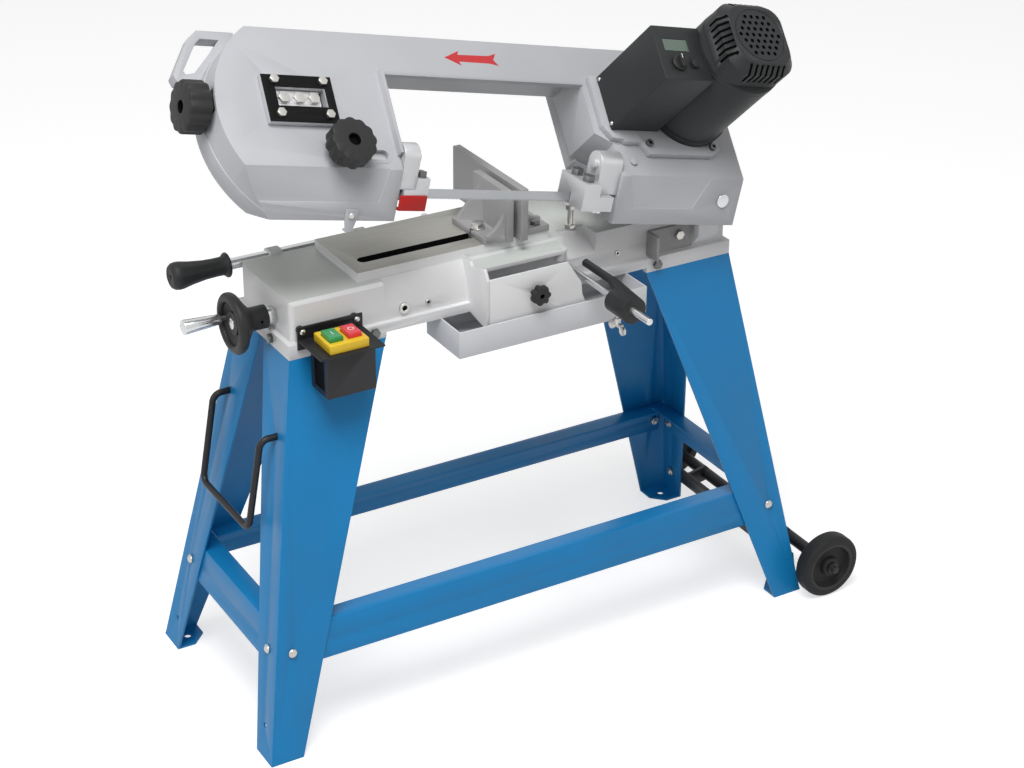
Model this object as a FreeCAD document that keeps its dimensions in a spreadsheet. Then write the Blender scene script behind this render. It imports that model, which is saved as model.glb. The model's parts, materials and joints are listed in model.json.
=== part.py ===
import FreeCAD, Part
import math
import os

# Horizontal metal-cutting band saw on a folded-sheet stand.
# Frame: +X along the machine towards the motor, -Y towards the operator, +Z up,
# origin on the floor under the middle of the stand.  Millimetres.

V = FreeCAD.Vector
X_AXIS = V(1, 0, 0)
Y_AXIS = V(0, 1, 0)
Z_AXIS = V(0, 0, 1)

doc = FreeCAD.newDocument("BandSaw")

# ---------------------------------------------------------------- driving sizes
SIZES = [
    # stand
    ("stand_height", 590), ("foot_half_length", 480), ("foot_half_width", 200),
    ("top_half_length", 375), ("top_half_width", 90), ("leg_sheet", 3),
    ("leg_face_top", 152), ("leg_face_foot", 52), ("leg_side_top", 84),
    ("rail_low", 139), ("rail_high", 197), ("rail_shelf", 30), ("rail_sheet", 3),
    ("handle_rod", 10), ("handle_level", 471.6), ("handle_drop", 139), ("handle_half", 81.5),
    ("wheel_radius", 55), ("wheel_width", 28), ("wheel_offset", 510), ("wheel_inner", 212),
    ("axle_radius", 6), ("sleeve_radius", 10),
    # base casting
    ("flange_low", 598), ("flange_high", 612), ("wall_half_length", 367),
    ("wall_half_width", 82), ("base_wall", 8),
    ("block_high", 672), ("table_high", 686), ("table_left", -253), ("table_right", 62),
    ("table_front", -64), ("table_rear", 73), ("chute_wall_high", 640),
    # vice
    ("slot_middle", -26), ("slot_width", 18), ("screw_level", 634), ("screw_radius", 8),
    ("jaw_high", 766), ("jaw_plate", 12), ("jaw_gap", 9), ("handwheel_radius", 44.5),
    ("jaw_foot", 9), ("rib_thick", 8), ("running_gap", 0.05),
    # fittings of the base
    ("bolt_hole", 4.15), ("tray_long", 320), ("tray_wide", 98.5), ("tray_sheet", 2), ("panel_sheet", 2.5),
    ("star_thick", 13), ("stop_rod", 5), ("bracket_sheet", 4), ("pull_bar", 8.5), ("button_high", 19),
    # bow
    ("pivot_along", 329), ("pivot_level", 700), ("blade_station", -100), ("blade_drop", 7),
    ("bow_raise", 12.58), ("bow_tilt", 47), ("bow_wall", 5), ("bow_face", 49), ("bow_back", -22),
    ("band_radius", 100), ("band_centre", 107), ("idler_along", -699), ("drive_along", -88),
    ("band_width", 20), ("blade_width", 13), ("blade_thick", 0.9),
    ("pin_radius", 8), ("motor_radius", 69.5), ("motor_top", 260), ("frame_thick", 9.5),
    ("cover_sheet", 1.5),
    ("shaft_radius", 10), ("tension_stud", 6), ("tension_grip", 32), ("guide_grip", 25),
    ("bearing_radius", 10.5), ("speed_knob", 11),
]
sheet = doc.addObject("Spreadsheet::Sheet", "Sizes")
for row, (word, number) in enumerate(SIZES, start=1):
    sheet.set("A%d" % row, word)
    sheet.set("B%d" % row, str(number))
    sheet.setAlias("B%d" % row, word)
doc.recompute()


def size(word):
    return float(sheet.get(word))


nodes = []


# ---------------------------------------------------------------- small helpers
def keep(obj, label):
    """Registers a finished sub-part under the label that names its file."""
    obj.Label = label
    nodes.append(obj)
    return obj


def feature(label, shape, placement=None):
    """A sub-part whose shape is worked out in code from the sheet's sizes."""
    obj = doc.addObject("Part::Feature", "F_" + label)
    obj.Shape = shape
    if placement is not None:
        obj.Placement = placement
    return keep(obj, label)


def set_size(obj, prop, value):
    """Sets a number, or binds the property to the sheet when given an expression."""
    if isinstance(value, str):
        obj.setExpression(prop, value)
    else:
        setattr(obj, prop, value)


def round_bar(radius, length, base, axis=Z_AXIS):
    """A cylinder primitive standing on base along axis."""
    obj = doc.addObject("Part::Cylinder", "Bar")
    set_size(obj, "Radius", radius)
    set_size(obj, "Height", length)
    obj.Placement = FreeCAD.Placement(base, FreeCAD.Rotation(Z_AXIS, axis))
    return obj


def taper_bar(low, high, length, base, axis=Z_AXIS):
    """A cone primitive, radius low at base and high at its end."""
    obj = doc.addObject("Part::Cone", "Taper")
    set_size(obj, "Radius1", low)
    set_size(obj, "Radius2", high)
    set_size(obj, "Height", length)
    obj.Placement = FreeCAD.Placement(base, FreeCAD.Rotation(Z_AXIS, axis))
    return obj


def brick(lengths, corner):
    """A box primitive from its lowest corner."""
    obj = doc.addObject("Part::Box", "Brick")
    for prop, value in zip(("Length", "Width", "Height"), lengths):
        set_size(obj, prop, value)
    obj.Placement.Base = V(*corner)
    return obj


def span(x, y, z):
    """A box primitive between pairs of limits, each a number or an expression."""
    obj = doc.addObject("Part::Box", "Span")
    for prop, axis, (low, high) in zip(("Length", "Width", "Height"), "xyz", (x, y, z)):
        if isinstance(low, str) or isinstance(high, str):
            obj.setExpression(prop, "(%s) - (%s)" % (high, low))
            obj.setExpression("Placement.Base." + axis, str(low))
        else:
            setattr(obj, prop, high - low)
            setattr(obj.Placement.Base, axis, low)
    return obj


def bar_between(radius, start, end):
    """A cylinder primitive from start to end."""
    path = end - start
    return round_bar(radius, path.Length, start, path)


def slab(loop, direction, length):
    """A closed loop of points extruded by a length, which may be an expression."""
    wire = doc.addObject("Part::Polygon", "Loop")
    wire.Nodes = [V(point) for point in loop]
    wire.Close = True
    obj = doc.addObject("Part::Extrusion", "Slab")
    obj.Base = wire
    obj.DirMode = "Custom"
    obj.Dir = direction
    set_size(obj, "LengthFwd", length)
    obj.Solid = True
    return obj


def hexagon(across, height, base, axis):
    """A hexagonal prism primitive standing on base along axis."""
    obj = doc.addObject("Part::Prism", "Hex")
    obj.Polygon = 6
    obj.Circumradius = across / math.sqrt(3)
    obj.Height = height
    obj.Placement = FreeCAD.Placement(base, FreeCAD.Rotation(Z_AXIS, axis))
    return obj


def union(*pieces):
    if len(pieces) == 1:
        return pieces[0]
    obj = doc.addObject("Part::MultiFuse", "Union")
    obj.Shapes = list(pieces)
    obj.Refine = True
    return obj


def minus(base, *tools):
    obj = doc.addObject("Part::Cut", "Cut")
    obj.Base = base
    obj.Tool = union(*tools)
    obj.Refine = True
    return obj


def overlap(*pieces):
    obj = doc.addObject("Part::MultiCommon", "Common")
    obj.Shapes = list(pieces)
    obj.Refine = True
    return obj


def lofted(first, last):
    """A ruled loft between two closed profiles."""
    obj = doc.addObject("Part::Loft", "Loft")
    obj.Sections = [first, last]
    obj.Solid = True
    obj.Ruled = True
    return obj


def ring_profile(radius, centre, axis):
    obj = doc.addObject("Part::Circle", "Ring")
    obj.Radius = radius
    obj.Placement = FreeCAD.Placement(centre, FreeCAD.Rotation(Z_AXIS, axis))
    return obj


def group(*pieces):
    """Separate solids kept in one node."""
    obj = doc.addObject("Part::Compound", "Group")
    obj.Links = list(pieces)
    return obj


def node(obj, label, placement=None):
    """Recomputes a finished tree of primitives, places it and registers it."""
    doc.recompute()
    if placement is not None:
        obj.Placement = placement
    doc.recompute()
    return keep(obj, label)


def origin_plane(body, role):
    for item in body.Origin.OriginFeatures:
        if item.Role == role:
            return item
    raise RuntimeError("no plane " + role)


def draw_outline(sketch, points):
    """Closed outline: each entry is (x, y), or ((mx, my), (x, y)) for an arc through m."""
    count = len(points)
    ends = [p if not isinstance(p[0], tuple) else p[1] for p in points]
    for i in range(count):
        start = V(ends[i - 1][0], ends[i - 1][1], 0)
        end = V(ends[i][0], ends[i][1], 0)
        if isinstance(points[i][0], tuple):
            middle = V(points[i][0][0], points[i][0][1], 0)
            sketch.addGeometry(Part.Arc(start, middle, end), False)
        else:
            sketch.addGeometry(Part.LineSegment(start, end), False)


def draw_circle(sketch, centre, radius):
    place = V(centre[0], centre[1], 0)
    sketch.addGeometry(Part.Circle(place, Z_AXIS, radius), False)


def padded(label, outline, thickness, placement=None, holes=(), inner=(), plane="XY_Plane"):
    """A plate as a body: one sketch with its holes, padded by a thickness."""
    body = doc.addObject("PartDesign::Body", "B_" + label)
    sketch = body.newObject("Sketcher::SketchObject", "S_" + label)
    sketch.AttachmentSupport = [(origin_plane(body, plane), "")]
    sketch.MapMode = "FlatFace"
    draw_outline(sketch, outline)
    for centre, radius in holes:
        draw_circle(sketch, centre, radius)
    for loop in inner:
        draw_outline(sketch, loop)
    doc.recompute()
    pad = body.newObject("PartDesign::Pad", "P_" + label)
    pad.Profile = sketch
    set_size(pad, "Length", thickness)
    doc.recompute()
    if placement is not None:
        body.Placement = placement
    return body


def turned(label, profile, placement):
    """A turned piece: profile of (radius, height) about the body's own Z axis."""
    body = doc.addObject("PartDesign::Body", "B_" + label)
    sketch = body.newObject("Sketcher::SketchObject", "S_" + label)
    sketch.AttachmentSupport = [(origin_plane(body, "XZ_Plane"), "")]
    sketch.MapMode = "FlatFace"
    draw_outline(sketch, profile)
    doc.recompute()
    spin = body.newObject("PartDesign::Revolution", "R_" + label)
    spin.Profile = sketch
    spin.ReferenceAxis = (sketch, ["V_Axis"])
    spin.Angle = 360
    doc.recompute()
    body.Placement = placement
    return body


def outline_profile(outline, level):
    """A sketch of its own at a level, for lofts."""
    sketch = doc.addObject("Sketcher::SketchObject", "Profile")
    draw_outline(sketch, outline)
    sketch.Placement.Base = V(0, 0, level)
    return sketch


def extruded(label, outline, z0, z1, holes=(), inner=()):
    """An outline padded from level z0 to level z1."""
    place = FreeCAD.Placement(V(0, 0, z0), FreeCAD.Rotation())
    return padded(label, outline, z1 - z0, place, holes=holes, inner=inner)


def hex_bolt(base, direction, across, head, shank_radius, shank_length):
    """Hex bolt: head outside on base, shank running against direction."""
    axis = V(direction).normalize()
    shank = bar_between(shank_radius, base + axis * 0.5, base - axis * shank_length)
    return union(hexagon(across, head, base, axis), shank)


def dome_bolt(base, direction, radius, head, shank_radius, shank_length):
    """Round-headed bolt with a chamfered head."""
    axis = V(direction).normalize()
    low = round_bar(radius, head * 0.45, base, axis)
    top = taper_bar(radius, radius * 0.55, head * 0.55, base + axis * head * 0.45, axis)
    shank = bar_between(shank_radius, base + axis * 0.3, base - axis * shank_length)
    return union(low, top, shank)


def hex_nut(base, direction, across, height, hole):
    axis = V(direction).normalize()
    return minus(hexagon(across, height, base, axis), round_bar(hole, height + 2, base - axis, axis))


def lobed_outline(outer, inner, count):
    """Outline of a knob grip with rounded lobes."""
    points = []
    for k in range(count):
        a1 = 2 * math.pi * k / count
        a2 = 2 * math.pi * (k + 0.25) / count
        a3 = 2 * math.pi * (k + 0.5) / count
        a4 = 2 * math.pi * (k + 0.75) / count
        mid = (outer + inner) / 2
        points.append(((outer * math.cos(a1), outer * math.sin(a1)),
                       (mid * math.cos(a2), mid * math.sin(a2))))
        points.append(((inner * math.cos(a3), inner * math.sin(a3)),
                       (mid * math.cos(a4), mid * math.sin(a4))))
    return points


# ---------------------------------------------------------------- the stand
HEIGHT = size("stand_height")
FOOT_X = size("foot_half_length")
FOOT_Y = size("foot_half_width")
TOP_X = size("top_half_length")
TOP_Y = size("top_half_width")
SHEET = size("leg_sheet")
BRACKET_LEVEL = 49
BRACKET_HALF = 163


def leg_x(z):
    return FOOT_X + (TOP_X - FOOT_X) * z / HEIGHT


def leg_y(z):
    return FOOT_Y + (TOP_Y - FOOT_Y) * z / HEIGHT


def side_normal():
    """Outward normal of the right-hand end plane of the stand."""
    return V(HEIGHT, 0, FOOT_X - TOP_X).normalize()


def front_normal():
    """Outward normal of the rear plane (mirrored for the front)."""
    return V(0, HEIGHT, FOOT_Y - TOP_Y).normalize()


def make_leg(label, sx, sy):
    """One folded leg: two splayed faces, a foot with a hole, top tabs inside the base skirt."""
    corner_low = V(sx * FOOT_X, sy * FOOT_Y, 0)
    corner_top = V(sx * TOP_X, sy * TOP_Y, HEIGHT)
    wide_top = V(sx * (TOP_X - size("leg_face_top")), sy * TOP_Y, HEIGHT)
    wide_low = V(sx * (FOOT_X - size("leg_face_foot")), sy * FOOT_Y, 0)
    deep_top = V(sx * TOP_X, sy * (TOP_Y - size("leg_side_top")), HEIGHT)
    deep_low = V(sx * FOOT_X, sy * (FOOT_Y - size("leg_face_foot")), 0)
    out_y = front_normal()
    out_y.y *= sy
    out_x = side_normal()
    out_x.x *= sx
    face_y = slab([corner_low, wide_low, wide_top, corner_top], -out_y, "Sizes.leg_sheet")
    face_x = slab([corner_low, deep_low, deep_top, corner_top], -out_x, "Sizes.leg_sheet")
    foot = slab([V(sx * FOOT_X, sy * FOOT_Y, 0), V(sx * (FOOT_X - 52), sy * FOOT_Y, 0),
                 V(sx * (FOOT_X - 52), sy * (FOOT_Y - 30), 0),
                 V(sx * (FOOT_X - 30), sy * (FOOT_Y - 52), 0),
                 V(sx * FOOT_X, sy * (FOOT_Y - 52), 0)], Z_AXIS, "Sizes.leg_sheet")
    # joggled tabs at the top stand behind the skirt of the base
    inset = 9.0
    behind = inset + SHEET
    wide = size("leg_face_top")
    deep = TOP_Y - size("leg_side_top")
    low, high = HEIGHT - SHEET, HEIGHT + 16.8
    tabs = []
    for xs, ys, zs in (((0, wide), (TOP_Y - behind, TOP_Y), (low, HEIGHT)),
                       ((behind, wide), (TOP_Y - behind, TOP_Y - inset - 0.2), (low, high)),
                       ((0, behind), (deep, TOP_Y), (low, HEIGHT)),
                       ((inset + 0.2, behind), (deep, TOP_Y - inset - 0.2), (low, high))):
        # xs runs inward from the end face, ys outward from the middle
        x_ends = sorted(sx * (TOP_X - x) for x in xs)
        y_ends = sorted(sy * y for y in ys)
        tabs.append(span(x_ends, y_ends, zs))
    room = span((-600, 600), (-300, 300), (0, HEIGHT + 30))
    whole = overlap(union(face_y, face_x, foot, *tabs), room)
    tools = [round_bar(5.5, 20, V(sx * (FOOT_X - 27), sy * (FOOT_Y - 27), -5))]
    for point, axis in leg_bolt_places(sx, sy):
        tools.append(bar_between("Sizes.bolt_hole", point + axis * 12, point - axis * 14))
    for point, axis in rail_bolt_places(sx, sy):
        tools.append(bar_between("Sizes.bolt_hole", point + axis * 8, point - axis * 10))
    small = V(sx * leg_x(BRACKET_LEVEL), sy * BRACKET_HALF, BRACKET_LEVEL)
    tools.append(bar_between("Sizes.bolt_hole", small + out_x * 8, small - out_x * 8))
    if sx < 0:
        level = size("handle_level")
        half = size("handle_half")
        tools.append(bar_between(5.15, V(-420, sy * half, level), V(-370, sy * half, level)))
    node(minus(whole, *tools), label)


def leg_bolt_places(sx, sy):
    """Centre of each leg bolt on the skirt's outer face, with its outward axis."""
    return [(V(sx * 240.7, sy * TOP_Y, 601.0), V(0, sy, 0)),
            (V(sx * TOP_X, sy * 32, 601.0), V(sx, 0, 0))]


def rail_bolt_places(sx, sy):
    """Centre of each rail bolt on the leg's outer face, with its outward axis."""
    z = 164
    out_y = front_normal()
    out_y.y *= sy
    out_x = side_normal()
    out_x.x *= sx
    return [(V(sx * 425, sy * leg_y(z), z), out_y), (V(sx * leg_x(z), sy * 140.5, z), out_x)]


def make_rails():
    """Four angle-section rails between the legs, notched at the corners."""
    low = size("rail_low")
    high = size("rail_high")
    shelf = size("rail_shelf")
    t = size("rail_sheet")
    gap = SHEET / math.cos(math.atan2(FOOT_Y - TOP_Y, HEIGHT)) + 0.1

    def section(reach, sign):
        """Angle section as (offset, height) pairs from the leg face function reach."""
        a = reach(low) - gap
        b = reach(high) - gap
        c = reach(high - t) - gap
        return [(sign * a, low), (sign * b, high), (sign * (b - shelf), high),
                (sign * (b - shelf), high - t), (sign * (c - t), high - t),
                (sign * (a - t), low)]

    half_x = leg_x(high) - 7
    for label, sign in (("rail_front", -1), ("rail_rear", 1)):
        place = FreeCAD.Placement(V(-half_x, 0, 0), FreeCAD.Rotation())
        rail = padded(label + "_section", section(leg_y, sign), 2 * half_x, place, plane="YZ_Plane")
        tools = []
        for sx in (-1, 1):
            edge = sorted((sx * (half_x - shelf - 1), sx * (half_x + 5)))
            inner = sorted((sign * (leg_y(high) - 12), sign * 60))
            tools.append(span(edge, inner, (150, 210)))
            point, axis = rail_bolt_places(sx, sign)[0]
            tools.append(round_bar("Sizes.bolt_hole", 16, point + axis * 4, -axis))
        node(minus(rail, *tools), label)
    half_y = leg_y(high) - 14
    for label, sign in (("rail_left", -1), ("rail_right", 1)):
        place = FreeCAD.Placement(V(0, half_y, 0), FreeCAD.Rotation())
        rail = padded(label + "_section", section(leg_x, sign), 2 * half_y, place, plane="XZ_Plane")
        tools = []
        for sy in (-1, 1):
            point, axis = rail_bolt_places(sign, sy)[1]
            tools.append(round_bar("Sizes.bolt_hole", 16, point + axis * 4, -axis))
        node(minus(rail, *tools), label)


def make_stand_fasteners():
    """Round-headed bolts of the rails and bracket with their nuts, and the handle's nuts."""
    solids = []
    for sx in (-1, 1):
        for sy in (-1, 1):
            for point, axis in rail_bolt_places(sx, sy):
                solids.append(dome_bolt(point, axis, 7, 4.5, 4, 15))
                solids.append(hex_nut(point - axis * 6.6, -axis, 13, 5, 4.05))
    level = size("handle_level")
    for sy in (-1, 1):
        solids.append(hex_nut(V(-390.6, sy * size("handle_half"), level), X_AXIS, 16, 6, 5.05))
    out_x = side_normal()
    for sy in (-1, 1):
        point = V(leg_x(BRACKET_LEVEL), sy * BRACKET_HALF, BRACKET_LEVEL) + out_x * 4.1
        solids.append(dome_bolt(point, out_x, 7, 4.5, 4, 15))
        solids.append(hex_nut(point - out_x * 7.3, -out_x, 13, 5, 4.05))
    node(group(*solids), "dome_bolts")


def make_hex_bolts():
    """M8 hex bolts of the base: leg bolts with nuts, fixed-jaw bolts and the bracket bolt."""
    solids = []
    for sx in (-1, 1):
        for sy in (-1, 1):
            for point, axis in leg_bolt_places(sx, sy):
                solids.append(hex_bolt(point, axis, 13, 5.5, 4, 20))
                solids.append(hex_nut(point - axis * 12.1, -axis, 13, 5, 4.05))
    for y in JAW_BOLTS:
        solids.append(hex_bolt(V(44, y, TABLE + 9.1), Z_AXIS, 14, 6, 4, 28))
    solids.append(hex_bolt(V(281, -WALL_Y - 4.2, 640), -Y_AXIS, 13, 5.5, 4, 12))
    node(group(*solids), "hex_bolts")


def make_lift_handle():
    """Bent round bar: two stubs through the left legs, two drops and a cross bar."""
    level = size("handle_level")
    half = size("handle_half")
    drop = size("handle_drop")
    r = size("handle_rod") / 2
    lean = drop * (FOOT_X - TOP_X) / HEIGHT
    out = -421.0
    points = [V(-374, -half, level), V(out, -half, level), V(out - lean, -half, level - drop),
              V(out - lean, half, level - drop), V(out, half, level), V(-374, half, level)]
    bend = 15.0
    edges = []
    last = points[0]
    for i in range(1, len(points) - 1):
        before = (points[i - 1] - points[i]).normalize()
        after = (points[i + 1] - points[i]).normalize()
        turn = math.pi - before.getAngle(after)
        setback = bend * math.tan(turn / 2)
        start = points[i] + before * setback
        end = points[i] + after * setback
        half_way = (before + after).normalize()
        centre = points[i] + half_way * (bend / math.cos(turn / 2))
        middle = centre - half_way * bend
        edges.append(Part.LineSegment(last, start).toShape())
        edges.append(Part.Arc(start, middle, end).toShape())
        last = end
    edges.append(Part.LineSegment(last, points[-1]).toShape())
    path = Part.Wire(edges)
    ring = Part.Wire(Part.makeCircle(r, points[0], X_AXIS))
    feature("lift_handle", path.makePipeShell([ring], True, False))


def make_transport():
    """Welded axle bracket (plate, ears, tube, stub axle) and the two solid wheels."""
    x = size("wheel_offset")
    z = size("wheel_radius")
    inner = size("wheel_inner")
    width = size("wheel_width")
    out_x = side_normal()
    face_low = V(leg_x(34), -185, 34) + out_x * 0.1
    face_high = V(leg_x(64), -185, 64) + out_x * 0.1
    plate = slab([face_low, face_high, face_high + out_x * 4, face_low + out_x * 4], Y_AXIS, 370)
    tools = []
    for sy in (-1, 1):
        point = V(leg_x(BRACKET_LEVEL), sy * BRACKET_HALF, BRACKET_LEVEL)
        tools.append(bar_between("Sizes.bolt_hole", point - out_x * 4, point + out_x * 10))
    reach = inner + width + 11
    solids = [minus(plate, *tools),
              bar_between("Sizes.sleeve_radius", V(x, -(inner - 2), z), V(x, inner - 2, z)),
              bar_between("Sizes.axle_radius", V(x, -reach, z), V(x, reach, z))]
    for sy in (-1, 1):
        y0 = sy * 120 - 3
        solids.append(slab([V(leg_x(36) + 2, y0, 36), V(leg_x(62) + 2, y0, 62),
                            V(x, y0, z + 14), V(x + 14, y0, z), V(x, y0, z - 14)], Y_AXIS, 6))
        near = sy * (inner + width + 0.6)
        solids.append(bar_between(9, V(x, near, z), V(x, near + sy * 3, z)))
    node(union(*solids), "wheel_bracket")
    # solid tyre and web turned as one, with rounded shoulders
    bore = size("axle_radius") + 0.08
    r = size("wheel_radius")
    round_off = 6
    cut_in = round_off * (1 - math.sqrt(0.5))
    profile = [(bore, 0), (bore, width), (15, width), (17, width - 9), (36, width - 9),
               (40, width - 0.5), (r - round_off, width),
               ((r - cut_in, width - cut_in), (r, width - round_off)),
               (r, round_off), ((r - cut_in, cut_in), (r - round_off, 0)),
               (40, 0.5), (36, 9), (17, 9), (15, 0)]
    for label, sy in (("wheel_front", -1), ("wheel_rear", 1)):
        place = FreeCAD.Placement(V(x, sy * inner, z), FreeCAD.Rotation(X_AXIS, -90 * sy))
        keep(turned(label + "_disc", profile, place), label)


make_leg("leg_front_left", -1, -1)
make_leg("leg_front_right", 1, -1)
make_leg("leg_rear_left", -1, 1)
make_leg("leg_rear_right", 1, 1)
make_rails()
make_stand_fasteners()
make_lift_handle()
make_transport()


# ---------------------------------------------------------------- the base casting
FLANGE = size("flange_high")
WALL_X = size("wall_half_length")
WALL_Y = size("wall_half_width")
THICK = size("base_wall")
BLOCK_TOP = size("block_high")
TABLE = size("table_high")
SLOT_Y = size("slot_middle")
SCREW_Z = size("screw_level")
PIVOT = V(size("pivot_along"), size("blade_station"), size("pivot_level"))


JAW_BOLTS = (-55, 45)
RIB_X = (-131.5, 184.5)
LUG_X = (-310, -170)
PULL_Y, PULL_Z = 96, 665
STOP_X, STOP_Z = 81, 633
WING_Y = -226
DOWN_STOP = V(110, -47.6, 703)


def make_base():
    """Hollow casting: skirt, end blocks, raised machined table, chute opening, hinge ears."""
    high = BLOCK_TOP
    front = size("table_front")
    low = size("chute_wall_high")
    top_x, top_y = "Sizes.top_half_length", "Sizes.top_half_width"
    wall_x, wall_y = "Sizes.wall_half_length", "Sizes.wall_half_width"
    t = "Sizes.base_wall"
    skirt = span(("-" + top_x, top_x), ("-" + top_y, top_y), ("Sizes.stand_height", "Sizes.flange_high"))
    hull = span(("-" + wall_x, wall_x), ("-" + wall_y, wall_y), ("Sizes.stand_height", "Sizes.block_high"))
    table = span(("Sizes.table_left", "Sizes.table_right"), ("Sizes.table_front", "Sizes.table_rear"),
                 ("Sizes.block_high - 20", "Sizes.table_high"))
    # between the legs the lower edge is raised above the leg pads; the right end is
    # lowered under the swinging corner of the bow
    cuts = [span((-222, 222), (-100, 100), ("Sizes.stand_height - 1", "Sizes.flange_low")),
            span((285, wall_x + " + 1"), ("-%s - 1" % wall_y, wall_y + " + 1"), (645, high + 1))]
    # bevel along the top of the front wall of the left block
    cuts.append(slab([V(-WALL_X - 5, -WALL_Y - 1, high - 6), V(-WALL_X - 5, -WALL_Y - 1, high + 1),
                      V(-WALL_X - 5, -WALL_Y + 6, high + 1)], X_AXIS, 150))
    # rounded upright corners at the left end
    for sy in (-1, 1):
        corner = span((-WALL_X - 1, -WALL_X + 8), sorted((sy * (WALL_Y - 8), sy * (WALL_Y + 1))),
                      (FLANGE, high + 1))
        rounded = round_bar(8, high + 2 - FLANGE, V(-WALL_X + 8, sy * (WALL_Y - 8), FLANGE))
        cuts.append(minus(corner, rounded))
    # sloped chip surface in front of the table, down to the lowered front wall
    for x0, x1, back in ((-220, 88, front), (86, 134, front + 14)):
        cuts.append(slab([V(x0, back, TABLE - 10), V(x0, -WALL_Y - 1, low - 2),
                          V(x0, -WALL_Y - 1, TABLE + 5), V(x0, back, TABLE + 5)], X_AXIS, x1 - x0))
    cuts.append(span((86, 134), (front + 14, front + 20), (high - 4, TABLE + 5)))
    # hollow inside, open at the bottom; the slope keeps its wall, two cross ribs stay
    inner_low = span(("%s - %s" % (t, top_x), "%s - %s" % (top_x, t)),
                     ("%s - %s" % (t, top_y), "%s - %s" % (top_y, t)),
                     ("Sizes.stand_height - 1", "Sizes.flange_high - 5"))
    across = ("%s - %s" % (t, wall_y), "%s - %s" % (wall_y, t))
    inner = span(("%s - %s" % (t, wall_x), 285 - THICK), across,
                 ("Sizes.stand_height - 1", "Sizes.block_high - " + t))
    inner_right = span((280 - THICK, "%s - %s" % (wall_x, t)), across,
                       ("Sizes.stand_height - 1", "645 - " + t))
    keep_slope = slab([V(-228, front + 24, high), V(-228, front + 24, high - 9),
                       V(-228, -WALL_Y + THICK - 0.5, low - 9),
                       V(-228, -WALL_Y - 1, low - 9), V(-228, -WALL_Y - 1, high)], X_AXIS, 370)
    ribs = [span((x - 4, x + 4), (-WALL_Y, WALL_Y), ("Sizes.flange_low", 606)) for x in RIB_X]
    cuts.append(minus(union(inner_low, minus(inner, keep_slope), inner_right), *ribs))
    # long slot for the jaw bolt, with rounded ends
    half = size("slot_width") / 2
    x0 = -233 + half
    x1 = -14
    cuts.append(span((x0, x1), (SLOT_Y - half, SLOT_Y + half), (640, TABLE + 1)))
    for x in (x0, x1):
        cuts.append(round_bar("Sizes.slot_width / 2", TABLE - 639, V(x, SLOT_Y, 640)))
    solid = minus(union(skirt, hull, table), *cuts)

    # ledge with a drilled boss in front of the table, and the upright left wing of the chute
    boss_y = -98
    adds = [span((-80, 66), (-104, front + 2), (662, 668)), span((60, 74), (boss_y, front + 2), (662, 668)),
            round_bar(7, 6, V(66, boss_y + 1, 662)), round_bar(9, 18, V(64, boss_y + 3, 650))]
    adds.append(slab([V(-85, -WALL_Y + 2, 599), V(-85, -138, 588), V(-85, -138, 664),
                      V(-85, -128, 680), V(-85, -108, 676), V(-85, -105, 671),
                      V(-85, -92, 671), V(-85, -88, 677), V(-85, front + 2, 677)], X_AXIS, 5))
    # boss of the down-stop bolt, and of the vice screw inside the left wall
    adds.append(round_bar(11, 20, V(DOWN_STOP.x, DOWN_STOP.y, 652)))
    adds.append(bar_between(19, V(-WALL_X + 1, SLOT_Y, SCREW_Z), V(-WALL_X + THICK + 12, SLOT_Y, SCREW_Z)))
    # hinge ears at the right end, one in front on a gusset and one behind
    for y0, y1 in ((-96, -72), (50, 76)):
        adds.append(span((PIVOT.x - 18, PIVOT.x + 18), (y0, y1), (632, PIVOT.z)))
        adds.append(round_bar(18, y1 - y0, V(PIVOT.x, y0, PIVOT.z), Y_AXIS))
    adds.append(slab([V(PIVOT.x - 18, -WALL_Y + 1, 615), V(PIVOT.x - 18, -96, 634),
                      V(PIVOT.x - 18, -WALL_Y + 1, 640)], X_AXIS, 36))
    # guide lugs of the pull-out handle behind the rear wall
    for x in LUG_X:
        adds.append(span((x - 9, x + 9), (WALL_Y - 1, PULL_Y), (PULL_Z - 12, PULL_Z + 12)))
        adds.append(bar_between(12, V(x - 9, PULL_Y, PULL_Z), V(x + 9, PULL_Y, PULL_Z)))
    # plugs in the front wall
    for radius, x, z, proud in ((8, -189.5, 626, 3), (4.5, -150.5, 626, 2), (4, 172, 631.6, 2.5)):
        adds.append(bar_between(radius, V(x, -WALL_Y - proud, z), V(x, -WALL_Y + 1, z)))

    # bores of the boss, the down stop, the hinge pin, the vice screw and the handle
    bores = [round_bar(3.4, 40, V(64, boss_y + 2, 640)),
             round_bar(4.55, 60, V(DOWN_STOP.x, DOWN_STOP.y, 630)),
             bar_between("Sizes.pin_radius + Sizes.running_gap", V(PIVOT.x, -130, PIVOT.z),
                         V(PIVOT.x, 130, PIVOT.z)),
             bar_between("Sizes.screw_radius + Sizes.running_gap", V(-400, SLOT_Y, SCREW_Z),
                         V(-340, SLOT_Y, SCREW_Z)),
             bar_between("Sizes.pull_bar + 0.06", V(-340, PULL_Y, PULL_Z), V(-100, PULL_Y, PULL_Z))]
    # bolt holes of the skirt with room for the nuts, the fixed jaw, the bracket and the stop rod
    for sx in (-1, 1):
        for sy in (-1, 1):
            for point, axis in leg_bolt_places(sx, sy):
                bores.append(bar_between("Sizes.bolt_hole", point + axis * 4, point - axis * 20))
                bores.append(bar_between(8.2, point - axis * 11.9, point - axis * 18))
    for y in JAW_BOLTS:
        bores.append(round_bar("Sizes.bolt_hole", 60, V(44, y, 640)))
    bores.append(bar_between("Sizes.bolt_hole", V(281, -100, 640), V(281, -60, 640)))
    bores.append(bar_between("Sizes.stop_rod + 0.02", V(STOP_X, -130, STOP_Z), V(STOP_X, -60, STOP_Z)))
    node(minus(union(solid, *adds), *bores), "base_casting")


make_base()
make_hex_bolts()


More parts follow.
